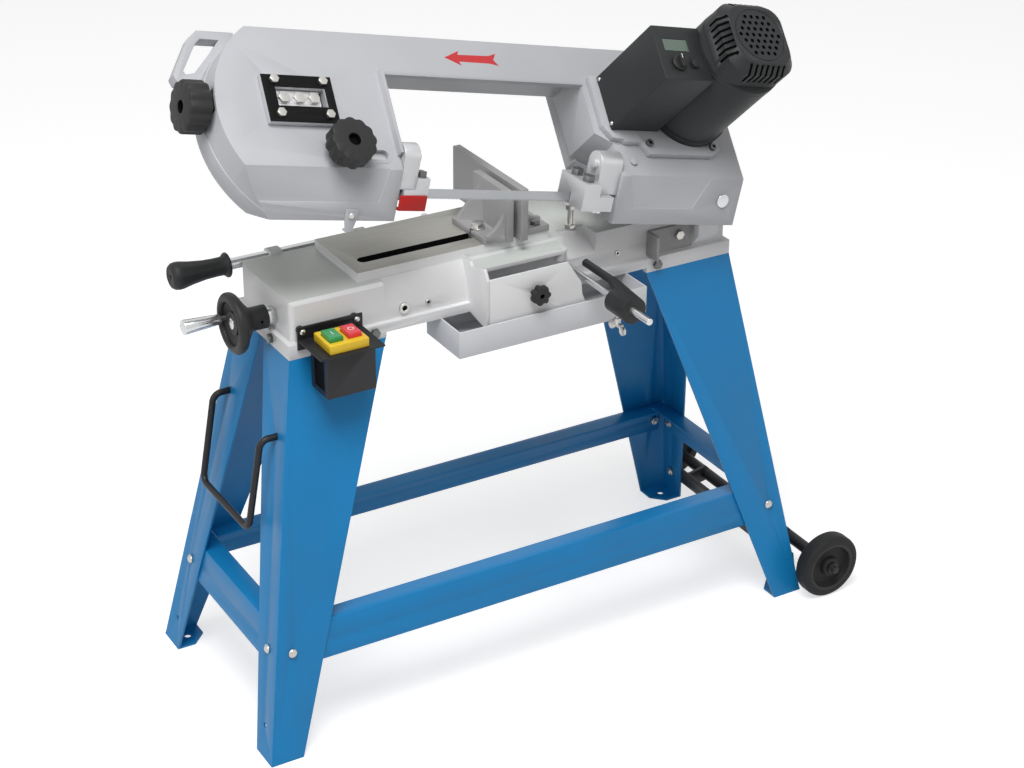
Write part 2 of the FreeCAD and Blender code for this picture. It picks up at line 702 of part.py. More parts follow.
def make_tray():
    """Open chip tray of folded sheet that hangs under the skirt."""
    x0, y0, z0 = -133.5, -144.5, 556
    outer = brick(("Sizes.tray_long", "Sizes.tray_wide", "Sizes.flange_low - %g" % z0), (x0, y0, z0))
    inside = brick(("Sizes.tray_long - 2 * Sizes.tray_sheet", "Sizes.tray_wide - 2 * Sizes.tray_sheet", 60),
                   (x0 + 2, y0 + 2, z0 + 2))
    for prop, start in (("x", x0), ("y", y0), ("z", z0)):
        inside.setExpression("Placement.Base." + prop, "%g + Sizes.tray_sheet" % start)
    node(minus(outer, inside), "chip_tray")


def make_chute():
    """Front panel of the chute, and the star knob that holds it."""
    outline = [(-79.8, 566), (88, 566), (84, 590), (76, 610), (74, 628), (50, 666),
               (-79.8, 666)]
    place = FreeCAD.Placement(V(0, -136.5, 0), FreeCAD.Rotation(X_AXIS, 90))
    panel = padded("panel_sheet", outline, "Sizes.panel_sheet", place, holes=[((-2, 629), 3.2)])
    keep(panel, "chute_panel")
    grip = padded("star_grip", lobed_outline(15.5, 12.5, 7), "Sizes.star_thick")
    hub = round_bar(7, 3.5, V(0, 0, -3))
    stud = round_bar(3.1, 14.5, V(0, 0, -14))
    place = FreeCAD.Placement(V(-2, -139 - 3.3, 629), FreeCAD.Rotation(X_AXIS, 90))
    node(union(grip, hub, stud), "star_knob", place)


def curved_rib(y, reach, crest, low, sag):
    """A rib whose top edge is a hollow arc between its tip and the jaw plate."""
    outline = [(reach.x, low), (reach.x, reach.z), ((sag.x, sag.z), (crest.x, crest.z)), (crest.x, low)]
    place = FreeCAD.Placement(V(0, y, 0), FreeCAD.Rotation(X_AXIS, 0))
    return padded("rib", outline, "Sizes.rib_thick", place, plane="XZ_Plane")


def make_jaws():
    """Fixed jaw, movable jaw, the clamp bolt and the nut under the table."""
    t = size("jaw_plate")
    high = size("jaw_high")
    face = 4.0
    floor = TABLE + 0.1
    plate = brick(("Sizes.jaw_plate", 202, "Sizes.jaw_high - %g" % floor), (face, -82, floor))
    pieces = [plate, span((face, 62), (-66, 70), (floor, TABLE + 9))]
    for y in (-36, 16, 64):
        pieces.append(curved_rib(y, V(60, 0, TABLE + 14), V(face + t - 1, 0, high - 12),
                                 TABLE + 8, V(31, 0, TABLE + 28)))
    tools = []
    for y in JAW_BOLTS:
        tools.append(round_bar("Sizes.bolt_hole", 60, V(44, y, TABLE - 5)))
        tools.append(round_bar(9.5, 30, V(44, y, TABLE + 9)))
    node(minus(union(*pieces), *tools), "fixed_jaw")

    back = face - size("jaw_gap")
    floor = TABLE + 0.3
    plate = brick(("Sizes.jaw_plate", 98, high - 2 - floor), (back - t, -76, floor))
    around = [(back - 1, -74), (-48, -66), (-50, 26), (back - 1, 20)]
    foot = padded("jaw_foot", around,
                  "Sizes.jaw_foot", FreeCAD.Placement(V(0, 0, floor), FreeCAD.Rotation()))
    pieces = [plate, foot]
    near = back - t + 1
    pieces.append(curved_rib(-62, V(-46, 0, TABLE + 13), V(near, 0, high - 10), TABLE + 5,
                             V((near - 46) / 2 + 6, 0, TABLE + 28)))
    # the rear rib is straight and runs slantwise from the corner of the foot
    pieces.append(slab([V(-49, 17, TABLE + 5), V(near, -8, high - 10), V(near, -8, TABLE + 5)], Y_AXIS, 8))
    tools = [span((-44, -30), (SLOT_Y - 5.1, SLOT_Y + 5.1), (TABLE - 5, TABLE + 30))]
    for x in (-44, -30):
        tools.append(round_bar(5.1, 35, V(x, SLOT_Y, TABLE - 5)))
    node(minus(union(*pieces), *tools), "movable_jaw")
    along = -36
    bolt = hex_bolt(V(along, SLOT_Y, TABLE + 11.3), Z_AXIS, 17, 7, 5, 34)
    washer = round_bar(11, 2, V(along, SLOT_Y, TABLE + 9.3))
    wide = size("slot_width") / 2 - 1
    nut = union(span((along - 14, along + 14), (SLOT_Y - 17, SLOT_Y + 17), (SCREW_Z - 16, 660)),
                span((along - 12, along + 12), (SLOT_Y - wide, SLOT_Y + wide), (655, TABLE - 0.5)))
    nut = minus(nut, round_bar(5.0, 70, V(along, SLOT_Y, 655)),
                round_bar("Sizes.screw_radius + Sizes.running_gap", 60, V(along - 30, SLOT_Y, SCREW_Z),
                          X_AXIS))
    node(group(nut, union(bolt, washer)), "jaw_nut")


def make_screw():
    """Vice screw with thrust collars, handwheel and crank grip."""
    y, z = SLOT_Y, SCREW_Z
    shaft = round_bar("Sizes.screw_radius", 422, V(-432, y, z), X_AXIS)
    collar = round_bar(13, 12.1, V(-379.5, y, z), X_AXIS)
    inner = round_bar(12, 5.7, V(-346.7, y, z), X_AXIS)
    node(union(shaft, collar, inner), "vice_screw")
    # dished wheel: thick rounded rim, cone and hub, hollow towards the crank side
    r = size("handwheel_radius")
    bore = size("screw_radius")
    profile = [(bore, 6), (17, 6), (17, 10), (r - 13, 6), ((r - 11, 0.6), (r - 6, 0)),
               ((r - 1.5, 2), (r, 7)), ((r - 1.8, 13), (r - 7, 16)),
               (18, 31), (17, 34), (17, 56), (bore, 56)]
    place = FreeCAD.Placement(V(-436, y, z), FreeCAD.Rotation(Y_AXIS, 90))
    wheel = turned("handwheel_dish", profile, place)
    grip_y = y + 28
    wheel = minus(wheel, round_bar(4.05, 35, V(-445, grip_y, z - 3), X_AXIS),
                  round_bar(2.5, 20, V(-392, y, z), V(0, -1, 0)))
    node(wheel, "handwheel")
    level = z - 3
    pin = round_bar(4, 20, V(-440, grip_y, level), X_AXIS)
    grip = taper_bar(7.5, 11, 56, V(-436.4, grip_y, level), -X_AXIS)
    node(union(pin, grip), "crank_grip")


def make_work_stop():
    """Round rod in front of the base with a sliding finger and its wing screw."""
    x, z = STOP_X, STOP_Z
    node(round_bar("Sizes.stop_rod", 234, V(x, -308, z), Y_AXIS), "stop_rod")
    # round finger beside the rod, widening into a hub that is bored for the rod
    fx, fz = x + 15, z + 12
    finger = bar_between(6, V(fx, -192, fz), V(fx, -114, fz))
    arm = lofted(ring_profile(7, V(fx, -186, fz), Y_AXIS), ring_profile(20, V(x + 3, -263, z - 2), Y_AXIS))
    hub = bar_between(18, V(x + 1, -263, z - 3), V(x + 1, -216, z - 3))
    bores = [bar_between("Sizes.stop_rod + 0.08", V(x, -310, z), V(x, -180, z)),
             round_bar(3.05, 30, V(x, WING_Y, z - 32))]
    node(minus(union(finger, arm, hub), *bores), "stop_finger")
    pieces = [round_bar(3, 30, V(x, WING_Y, z - 35.5)), round_bar(5, 10, V(x, WING_Y, z - 37)),
              span((x - 2, x + 2), (WING_Y - 13, WING_Y + 13), (z - 41, z - 34))]
    for side in (-14, 14):
        pieces.append(bar_between(6.5, V(x - 2, WING_Y + side, z - 43), V(x + 2, WING_Y + side, z - 43)))
    node(union(*pieces), "wing_screw")


def make_base_fittings():
    """Down-stop bolt, stop bracket and the pull-out handle."""
    stop = hex_bolt(DOWN_STOP, Z_AXIS, 14, 7.5, 4.5, 52)
    lock = hexagon(16, 7.5, V(DOWN_STOP.x, DOWN_STOP.y, BLOCK_TOP + 0.1), Z_AXIS)
    node(union(stop, lock), "down_stop")
    back = brick((82, "Sizes.bracket_sheet", 40), (225, -WALL_Y - 4.1, 616))
    wing = brick(("Sizes.bracket_sheet", 29.9, 40), (225, -112, 616))
    hole = round_bar("Sizes.bolt_hole", 70, V(281, -130, 640), Y_AXIS)
    node(minus(union(back, wing), hole), "stop_bracket")
    bar = round_bar("Sizes.pull_bar", 334, V(-392, PULL_Y, PULL_Z), X_AXIS)
    collar = round_bar(12, 5, V(-60, PULL_Y, PULL_Z), X_AXIS)
    node(union(bar, collar), "pull_rod")
    r = size("pull_bar")
    profile = [(r, 0), (18.5, 0), (18.5, 4), (13.5, 8), ((14.5, 40), (20.5, 76)), ((18.8, 86), (11, 90)),
               (0, 90), (0, 78), (r, 78)]
    tilt = FreeCAD.Rotation(Y_AXIS, -90)
    keep(turned("pull_handle", profile, FreeCAD.Placement(V(-381, PULL_Y, PULL_Z), tilt)), "pull_grip")


BUTTONS = ((-337.5, -317.5), (-308.5, -288.5))


def make_switch():
    """Switch bracket, the yellow switch unit and its two buttons."""
    y0 = -WALL_Y - 0.1
    front = -164
    screw_x = (-354, -270)
    sheets = [span((-362, -261), (y0 - 11, y0 - 8.5), (604, 639)),
              span((-361, -262), (front, y0 - 8.5), (617.5, 620)),
              span((-346, -271), (-151, -148.5), (549, 618)),
              span((-346, -343.5), (-151, -100), (549, 618)),
              span((-273.5, -271), (-151, -100), (549, 618))]
    for x in screw_x:
        sheets.append(bar_between(6, V(x, y0 - 8.6, 631), V(x, y0, 631)))
    opening = minus(span((-340.6, -285.4), (-157.2, -107.8), (612, 630)),
                    span((-400, -200), (-152, -148), (540, 617.4)))
    tools = [span((-350, -340), (-141, -110), (557, 606)), opening]
    for x in screw_x:
        tools.append(bar_between(2.6, V(x, -120, 631), V(x, -70, 631)))
    screws = [dome_bolt(V(x, y0 - 11, 631), -Y_AXIS, 4.5, 3.2, 2.5, 10.9) for x in screw_x]
    node(group(minus(union(*sheets), *tools), *screws), "switch_bracket")
    rim = span((-343, -283), (-157, -105), (620.2, 633))
    body = span((-339, -287), (-147.5, -108), (574, 622))
    wells = [span((x0 - 0.5, x1 + 0.5), (-146.5, -115.5), (616, 640)) for x0, x1 in BUTTONS]
    node(minus(union(rim, body), *wells), "switch_unit")
    for label, (x0, x1) in (("button_start", BUTTONS[0]), ("button_stop", BUTTONS[1])):
        cap = brick((x1 - x0, 30, "Sizes.button_high"), (x0, -146, 621))
        doc.recompute()
        crown = 621 + size("button_high")
        rounded = doc.addObject("Part::Fillet", "Rounded")
        rounded.Base = cap
        rounded.Edges = [(i, 2, 2) for i, edge in enumerate(cap.Shape.Edges, start=1)
                         if edge.BoundBox.ZMin > crown - 1]
        node(rounded, label)


make_tray()
make_chute()
make_jaws()
make_screw()
make_work_stop()
make_base_fittings()
make_switch()


# ---------------------------------------------------------------- the bow
# Two frames share one origin on the blade's centre line beside the hinge:
# UPRIGHT has x along the blade, y across the machine and z square to both;
# TILTED turns that about the blade so z is the axis of both band wheels.
RAISE = size("bow_raise")
TILT = math.radians(size("bow_tilt"))
CT = math.cos(TILT)
ST = math.sin(TILT)
raise_turn = FreeCAD.Rotation(Y_AXIS, RAISE)
bow_origin = PIVOT - raise_turn.multVec(V(0, 0, size("blade_drop")))
UPRIGHT = FreeCAD.Placement(bow_origin, raise_turn)
TILTED = UPRIGHT.multiply(FreeCAD.Placement(
    V(0, 0, 0), FreeCAD.Rotation(X_AXIS, 90 - size("bow_tilt"))))
INTO_TILTED = FreeCAD.Placement(V(0, 0, 0), FreeCAD.Rotation(X_AXIS, size("bow_tilt") - 90))

FACE = size("bow_face")
BACK = size("bow_back")
WALL = size("bow_wall")
BAND_R = size("band_radius")
BAND_V = size("band_centre")
IDLER = size("idler_along")
DRIVE = size("drive_along")


def leaned(obj):
    """Turns an object drawn in the upright frame into the tilted frame."""
    obj.Placement = INTO_TILTED.multiply(obj.Placement)
    return obj


LEFT_EDGE = -560
WINDOW_RIGHT = -222
SHOULDER = -193
RIGHT_EDGE = 31
TOP_EDGE = 221.5
ARC_U, ARC_V, ARC_R = -661, 92, 159
GUIDE_U, GUIDE_V = -650, 31
SCREW_V, SCREW_N = 110, 20
SLOT_END = -585
TAB_U = -629
PLATE_BOLTS = [(u, v) for u in (-733, -660) for v in (84, 135)]
CONTROLS = ((-170, 104, 3.0), (-143, 103.5, 6.0))


def arc_u(v, radius):
    """Station of the rounded left end at height v."""
    return ARC_U - math.sqrt(radius ** 2 - (v - ARC_V) ** 2)


def left_box(inset):
    """Outline of the idler box, rounded about its own centre."""
    r = ARC_R - inset
    low = -60.0
    top = TOP_EDGE - inset
    right = LEFT_EDGE - inset
    return [(right, top), (right, low), (arc_u(low, r), low),
            ((ARC_U - r, ARC_V), (arc_u(top, r), top))]


def right_box(inset):
    """Outline of the drive box with the shoulder that carries the right guide."""
    left = WINDOW_RIGHT + inset
    low_left = SHOULDER + inset
    return [(left, TOP_EDGE - inset), (RIGHT_EDGE - inset, TOP_EDGE - inset),
            (RIGHT_EDGE - inset, -60), (low_left, -60), (low_left, 62), (left, 78)]


def upright_prism(loop, u0, u1):
    """Prism along u of a (y, w) loop, expressed in the tilted frame."""
    return leaned(slab([V(u0, y, w) for y, w in loop], X_AXIS, u1 - u0))


def make_bow_casting():
    """C-shaped casting: two boxes open at the back and the beam that joins them."""
    outer_space = [(-27, 300), (-27, -32), (3, -32), (12, -19), (400, -19), (400, 300)]
    inner_space = [(-22, 300), (-22, -27), (1, -27), (8, -17), (8, -60), (400, -60), (400, 300)]
    deep = BACK - 30
    left = overlap(extruded("idler_box", left_box(0), BACK, FACE), upright_prism(outer_space, -900, 100))
    right = overlap(extruded("drive_box", right_box(0), BACK, FACE), upright_prism(outer_space, -900, 100))
    beam = span((LEFT_EDGE - 8, WINDOW_RIGHT + 8), (178, TOP_EDGE), ("Sizes.bow_back", "Sizes.bow_face"))
    web = span((LEFT_EDGE - 8, WINDOW_RIGHT + 8), (156, 180), ("Sizes.bow_face - 6", "Sizes.bow_face"))
    core_left = overlap(extruded("idler_core", left_box(WALL), deep, FACE - 6),
                        upright_prism(inner_space, -900, 100))
    core_right = overlap(extruded("drive_core", right_box(WALL), deep, FACE - 6),
                         upright_prism(inner_space, -900, 100))
    core_beam = span((LEFT_EDGE - 30, WINDOW_RIGHT + 30), (183, "%g - Sizes.bow_wall" % TOP_EDGE),
                     (deep, "Sizes.bow_face - 6"))
    shell = minus(union(left, right, beam, web), core_left, core_right, core_beam)
    # raised rim along the left and upper edge of the throat
    adds = [span((LEFT_EDGE - 4.5, LEFT_EDGE), (30, 160.5), (FACE - 1, FACE + 12)),
            span((LEFT_EDGE - 4.5, WINDOW_RIGHT), (156, 160.5), (FACE - 1, FACE + 3))]
    # raised band around the open rear edge of the rounded end
    wide = [(LEFT_EDGE - 40, -60), (arc_u(-60, ARC_R + 1.5), -60),
            ((ARC_U - ARC_R - 1.5, ARC_V), (arc_u(200, ARC_R + 1.5), 200)), (LEFT_EDGE - 40, 200)]
    band = overlap(extruded("band", wide, BACK, BACK + 27), upright_prism(outer_space, -900, 100))
    adds.append(minus(band, extruded("band_core", left_box(WALL), BACK - 1, BACK + 30)))
    # cast lifting loop behind the upper left corner
    outer = [(-735, 251), (-790, 251), (-805, 238), (-838, 180), (-835, 170), (-812, 156),
             (-735, 205)]
    inner = [(-759, 238), (-787, 238), (-795, 231), (-822, 186), (-819, 181), (-806, 184),
             (-772, 222)]
    adds.append(minus(extruded("loop", outer, BACK - 12, BACK + 6, inner=[inner]),
                      extruded("loop_core", left_box(WALL), deep, FACE - 6)))
    # hinge boss behind the front wall, rear hinge tube and the web that carries it
    drop = size("blade_drop")
    adds.append(leaned(bar_between(18, V(0, -22.5, drop), V(0, 2, drop))))
    adds.append(leaned(bar_between(18, V(0, 32, drop), V(0, 148, drop))))
    rib = leaned(slab([V(-6, 34, drop), V(-6, 60, 86), V(-6, 120, 160), V(-6, 146, drop)],
                      X_AXIS, RIGHT_EDGE + 6))
    adds.append(overlap(rib, span((-60, 60), (-60, 205), (BACK - 170, BACK + 5))))
    # room for the base's front ear, and the bore of the hinge pin
    cuts = [leaned(union(span((-23, 60), (2.2, 30.4), (-90, drop)),
                         bar_between(31, V(0, 2.2, drop), V(0, 30.4, drop)))),
            leaned(bar_between("Sizes.pin_radius + 0.02", V(0, -40, drop), V(0, 165, drop)))]
    # shallow panel sunk in each front wall
    for points in (((-840, 60), (-577, 60), (-589, -6), (-840, -6)),
                   ((-183, 60), (-20, 60), (-54, -7), (-163, -7))):
        cuts.append(leaned(slab([V(u, -28, w) for u, w in points], Y_AXIS, 2.2)))
    # window and bolt holes of the tension slide
    cuts.append(span((-734, -658), (BAND_V - 14, BAND_V + 18), (FACE - 10, FACE + 2)))
    for u, v in PLATE_BOLTS:
        cuts.append(round_bar(4.02, 10, V(u, v, FACE - 7)))
    # guide slot with rounded ends, notch of the tension screw
    cuts.append(span((GUIDE_U, SLOT_END), (GUIDE_V - 7, GUIDE_V + 7), (FACE - 10, FACE + 2)))
    for u in (GUIDE_U, SLOT_END):
        cuts.append(round_bar(7, 12, V(u, GUIDE_V, FACE - 10)))
    cuts.append(span((-840, -780), (SCREW_V - 17, SCREW_V + 17), (1, FACE - 6)))
    # passages of the guide bar and the blade, and of the gear nose in the right face
    cuts.append(span((LEFT_EDGE - 10, LEFT_EDGE + 5), (15.6, 47.4), (31.6, 42.4)))
    cuts.append(leaned(span((LEFT_EDGE - 12, LEFT_EDGE + 5), (-6, 12), (-14, 16))))
    cuts.append(leaned(span((SHOULDER - 5, SHOULDER + 12), (-6, 12), (-14, 16))))
    cuts.append(round_bar(34, 12, V(DRIVE, BAND_V, FACE - 9)))
    cuts.append(leaned(bar_between(2.05, V(TAB_U, -30, -24), V(TAB_U, -15, -24))))
    node(minus(union(shell, *adds), *cuts), "bow_casting", TILTED)


def folded_pan(label, outline_of, depth):
    """A shallow sheet cover from a function that gives its outline for an inset."""
    thick = size("cover_sheet")
    pan = extruded(label, outline_of(0), BACK - depth, BACK - 0.1)
    return minus(pan, extruded(label + "_inside", outline_of(thick), BACK - depth + thick, BACK + 1))


def idler_cover_outline(inset):
    r = ARC_R - 8 - inset
    low, top, right = 12 + inset, 212 - inset, -587 - inset
    return [(right, top), (right, low), (arc_u(low, r), low),
            ((ARC_U - r, ARC_V), (arc_u(top, r), top))]


def drive_cover_outline(inset):
    left, low_left = -214 + inset, -186 + inset
    right, low, top = 24 - inset, 27 + inset, 212 - inset
    return [(left, top), (right, top), (right, low), (low_left, low), (low_left, 58), (left, 72)]


def make_covers():
    """Sheet covers over the open backs of the two boxes, and the stop tab."""
    node(folded_pan("idler_pan", idler_cover_outline, 13), "cover_idler", TILTED)
    drop = size("blade_drop")
    # the drive cover leaves out the hinge web, the tube and the front ear with its room
    rib = slab([V(-6.6, 30, drop - 9), V(-6.6, 60, 92), V(-6.6, 120, 170), V(-6.6, 160, drop)], X_AXIS, 60)
    tube = bar_between(18.6, V(0, 29, drop), V(0, 150, drop))
    ear = span((-24, 60), (0, 31), (-60, 35))
    pan = minus(folded_pan("drive_pan", drive_cover_outline, 28), leaned(rib), leaned(tube), leaned(ear))
    node(pan, "cover_drive", TILTED)
    tab = slab([V(TAB_U - 9, -29.6, -15), V(TAB_U + 9, -29.6, -15), V(TAB_U + 9, -29.6, -30),
                V(TAB_U + 5, -29.6, -45), V(TAB_U - 6, -29.6, -45), V(TAB_U - 9, -29.6, -30)],
               Y_AXIS, 2.5)
    foot = span((TAB_U - 6, TAB_U + 5), (-29.6, -21), (-47.5, -45))
    tab = minus(union(tab, foot), bar_between(2.02, V(TAB_U, -30, -24), V(TAB_U, -26, -24)))
    node(group(tab, dome_bolt(V(TAB_U, -29.6, -24), -Y_AXIS, 4.5, 3, 2, 9)), "stop_tab", UPRIGHT)


def make_pin():
    """Hinge pin with its round cap in the front wall and a collar at the rear."""
    drop = size("blade_drop")
    shaft = round_bar("Sizes.pin_radius", 209, V(0, -28, drop), Y_AXIS)
    cap = round_bar(10.5, 2.45, V(0, -29.5, drop), Y_AXIS)
    collar = round_bar(13, 5.6, V(0, 176.4, drop), Y_AXIS)
    node(union(shaft, cap, collar), "hinge_pin", UPRIGHT)


def band_wheel(label, along, bore):
    """Cast band wheel: rim, dished web and hub, turned about its own axis."""
    half = size("band_width") / 2
    r = BAND_R
    profile = [(bore, -half - 2), (bore, half + 2), (22, half + 2), (24, 4), (r - 12, 4),
               (r - 10, half), (r, half), (r, -half), (r - 10, -half), (r - 12, -4), (24, -4),
               (22, -half - 2)]
    place = TILTED.multiply(FreeCAD.Placement(V(along, BAND_V, 0), FreeCAD.Rotation()))
    keep(turned(label + "_casting", profile, place), label)


def blade_section(station, cy, cz, angle):
    """Blade section: centre (cy, cz) in the upright frame, turned by angle about x."""
    hw = size("blade_width") / 2
    ht = size("blade_thick") / 2
    c, s = math.cos(angle), math.sin(angle)
    corners = []
    for a, b in ((-ht, -hw), (ht, -hw), (ht, hw), (-ht, hw)):
        corners.append(V(station, cy + a * c - b * s, cz + a * s + b * c))
    return Part.makePolygon(corners + [corners[0]])


def make_blade():
    """Endless band: wheel arcs, upper run, and the lower run twisted upright by the guides."""
    hw = size("blade_width") / 2
    t = size("blade_thick")
    mean = BAND_R + t / 2 + 0.02
    low_v = BAND_V - mean
    cy, cz = low_v * ST, low_v * CT
    lean = math.radians(90) - TILT
    stations = [(IDLER, cy, cz, lean), (-554, 0, 0, 0), (-205, 0, 0, 0), (DRIVE, cy, cz, lean)]
    solids = []
    for a, b in zip(stations, stations[1:]):
        steps = 1 if a[3] == b[3] else 4
        sections = []
        for k in range(steps + 1):
            f = k / steps
            sections.append(blade_section(*[p + (q - p) * f for p, q in zip(a, b)]))
        run = Part.makeLoft(sections, True, True)
        run.Placement = INTO_TILTED
        solids.append(run)
    for along, sign in ((IDLER, -1), (DRIVE, 1)):
        centre = V(along, BAND_V, -hw)
        ring = Part.makeCylinder(mean + t / 2, 2 * hw, centre).cut(
            Part.makeCylinder(mean - t / 2, 2 * hw, centre))
        x0 = min(along, along + sign * 200)
        solids.append(ring.common(Part.makeBox(200, 400, 100, V(x0, BAND_V - 200, -50))))
    top = BAND_V + mean
    solids.append(Part.makeBox(DRIVE - IDLER, t, 2 * hw, V(IDLER, top - t / 2, -hw)))
    feature("blade", solids[0].fuse(solids[1:]), TILTED)


def make_tension():
    """Idler slide and shaft, black guide plate, its bolts and the tension knob."""
    mid = SCREW_V + 1
    pieces = [span((-741, -659), (BAND_V - 36, BAND_V + 36), (15, FACE - 6.3)),
              span((-732, -665), (mid - 12, mid + 12), (FACE - 6.5, FACE + 2)),
              span((-763, -740), (SCREW_V - 15, SCREW_V + 15), (8, FACE - 9)),
              round_bar("Sizes.shaft_radius", 31, V(IDLER, BAND_V, -15)),
              round_bar(15, 2.6, V(IDLER, BAND_V, -15))]
    tools = [bar_between("Sizes.tension_stud + 0.02", V(-780, SCREW_V, SCREW_N), V(-725, SCREW_V, SCREW_N)),
             bar_between(10.5, V(-741, SCREW_V, SCREW_N), V(-690, SCREW_V, SCREW_N))]
    studs = []
    for u in (-721, -698.5, -676):
        studs.append(hex_bolt(V(u, mid, FACE + 2.05), Z_AXIS, 15, 6, 3.5, 10))
        tools.append(round_bar(3.52, 14, V(u, mid, FACE - 9)))
    node(group(minus(union(*pieces), *tools), *studs), "idler_slide", TILTED)
    outline = [(-751, 71), (-646, 71), (-646, 143), (-751, 143)]
    window = [(-733, 96), (-659, 96), (-659, 124), (-733, 124)]
    place = TILTED.multiply(FreeCAD.Placement(V(0, 0, FACE + 0.05), FreeCAD.Rotation()))
    holes = [(place_of, 4.1) for place_of in PLATE_BOLTS]
    plate = padded("guide_frame", outline, "Sizes.frame_thick", place, holes=holes, inner=[window])
    keep(plate, "tension_plate")
    bolts = [hex_bolt(V(u, v, FACE + 9.6), Z_AXIS, 12, 5, 4, 14) for u, v in PLATE_BOLTS]
    node(group(*bolts), "tension_bolts", TILTED)
    grip = padded("tension_grip", lobed_outline(36, 33.5, 12), "Sizes.tension_grip")
    neck = round_bar(20, 2.8, V(0, 0, 32))
    hub = round_bar(15, 12.5, V(0, 0, 34.5))
    stud = round_bar("Sizes.tension_stud", 75, V(0, 0, 46))
    knob = minus(union(grip, neck, hub, stud), round_bar(9, 14, V(0, 0, -1)))
    place = TILTED.multiply(FreeCAD.Placement(V(-857, SCREW_V, SCREW_N), FreeCAD.Rotation(Y_AXIS, 90)))
    node(knob, "tension_knob", place)


def capsule(x0, x1, y, z_low, z_centre, r):
    """An arm of guide stock, flat below and rounded on top."""
    return union(span((x0, x1), (y - r, y + r), (z_low, z_centre)),
                 bar_between(r, V(x0, y, z_centre), V(x1, y, z_centre)))


def bearing_pair(label, x, low):
    """Two ball bearings on stub pins, one on each side of the blade."""
    pieces = []
    for y in (-11.1, 11.1):
        pieces.append(union(round_bar("Sizes.bearing_radius", 7, V(x, y, low)),
                            round_bar(4, 8.25, V(x, y, low - 1.2))))
    node(group(*pieces), label, UPRIGHT)


def make_guides():
    """Left guide (sliding bar, arm, block, bearings, red guard) and the fixed right guide."""
    stud_bore = round_bar(5.0, 30, V(GUIDE_U, GUIDE_V, 20))
    bar = minus(span((-690, LEFT_EDGE + 1.5), (16, 47), (32, 42)), stud_bore)
    y_mid = -5.5
    arm = leaned(capsule(LEFT_EDGE + 1, -534, y_mid, 13, 55, 19))
    cap = leaned(bar_between(7, V(-534.5, y_mid - 3, 55), V(-528, y_mid - 3, 55)))
    node(union(bar, arm, cap), "guide_arm_left", TILTED)
    place = FreeCAD.Placement(V(0, 0, FACE + 17), FreeCAD.Rotation())
    grip = padded("guide_grip", lobed_outline(34, 31.5, 12), "Sizes.guide_grip", place)
    boss = round_bar(17, 17, V(0, 0, FACE + 0.5))
    stud = round_bar(5, 32, V(0, 0, FACE - 16))
    knob = minus(union(grip, boss, stud), round_bar(9, 12, V(0, 0, FACE + 34)))
    place = TILTED.multiply(FreeCAD.Placement(V(GUIDE_U, GUIDE_V, 0), FreeCAD.Rotation()))
    node(knob, "guide_knob", place)

    left = union(span((-553, -515), (-28, 22), (-5, 12.9)), span((-533.9, -515), (-28, 22), (12, 30)))
    tools = [span((-600, -500), (-1.1, 1.1), (-10, 8))]
    bolts = []
    for y in (-16, 10):
        bolts.append(hex_bolt(V(-524.5, y, 30.1), Z_AXIS, 15, 7, 4, 12))
        tools.append(round_bar("Sizes.bolt_hole", 20, V(-524.5, y, 16)))
    node(group(minus(left, *tools), *bolts), "guide_block_left", UPRIGHT)
    bearing_pair("bearings_left", -528, -12.1)
    guard = union(span((-559, -516), (-30.2, -28.1), (-16, 6)),
                  span((-559, -553.1), (-30.2, 6), (-16, -14)))
    node(guard, "blade_guard", UPRIGHT)

    arm = capsule(-231, SHOULDER - 0.1, y_mid, 11, 54, 17.5)
    cap = bar_between(7, V(-237, y_mid - 3, 54), V(-230.5, y_mid - 3, 54))
    node(union(arm, cap), "guide_arm_right", UPRIGHT)
    right = union(span((-259, -231.1), (-35, 32), (-11, 30)), span((-232, -206), (-35, 20), (-11, 10.9)))
    tools = [span((-290, -200), (-1.1, 1.1), (-15, 8))]
    bolts = []
    for y in (-19, 12):
        bolts.append(hex_bolt(V(-246, y, 30.1), Z_AXIS, 16, 9, 4, 12))
        tools.append(round_bar("Sizes.bolt_hole", 20, V(-246, y, 16)))
    node(group(minus(right, *tools), *bolts), "guide_block_right", UPRIGHT)
    bearing_pair("bearings_right", -218, -18.1)


MOTOR_U, MOTOR_V = -53, 127
BOX_TOP = 208


def rounded_square(half, radius):
    """Outline of a square with rounded corners about the motor axis."""
    k = half - radius
    d = radius * math.sqrt(0.5)
    points = []
    for sx, sy in ((1, 1), (-1, 1), (-1, -1), (1, -1)):
        first = (sx * half, sy * k) if sx * sy > 0 else (sx * k, sy * half)
        last = (sx * k, sy * half) if sx * sy > 0 else (sx * half, sy * k)
        middle = (sx * (k + d), sy * (k + d))
        points.append(first)
        points.append((middle, last))
    return points


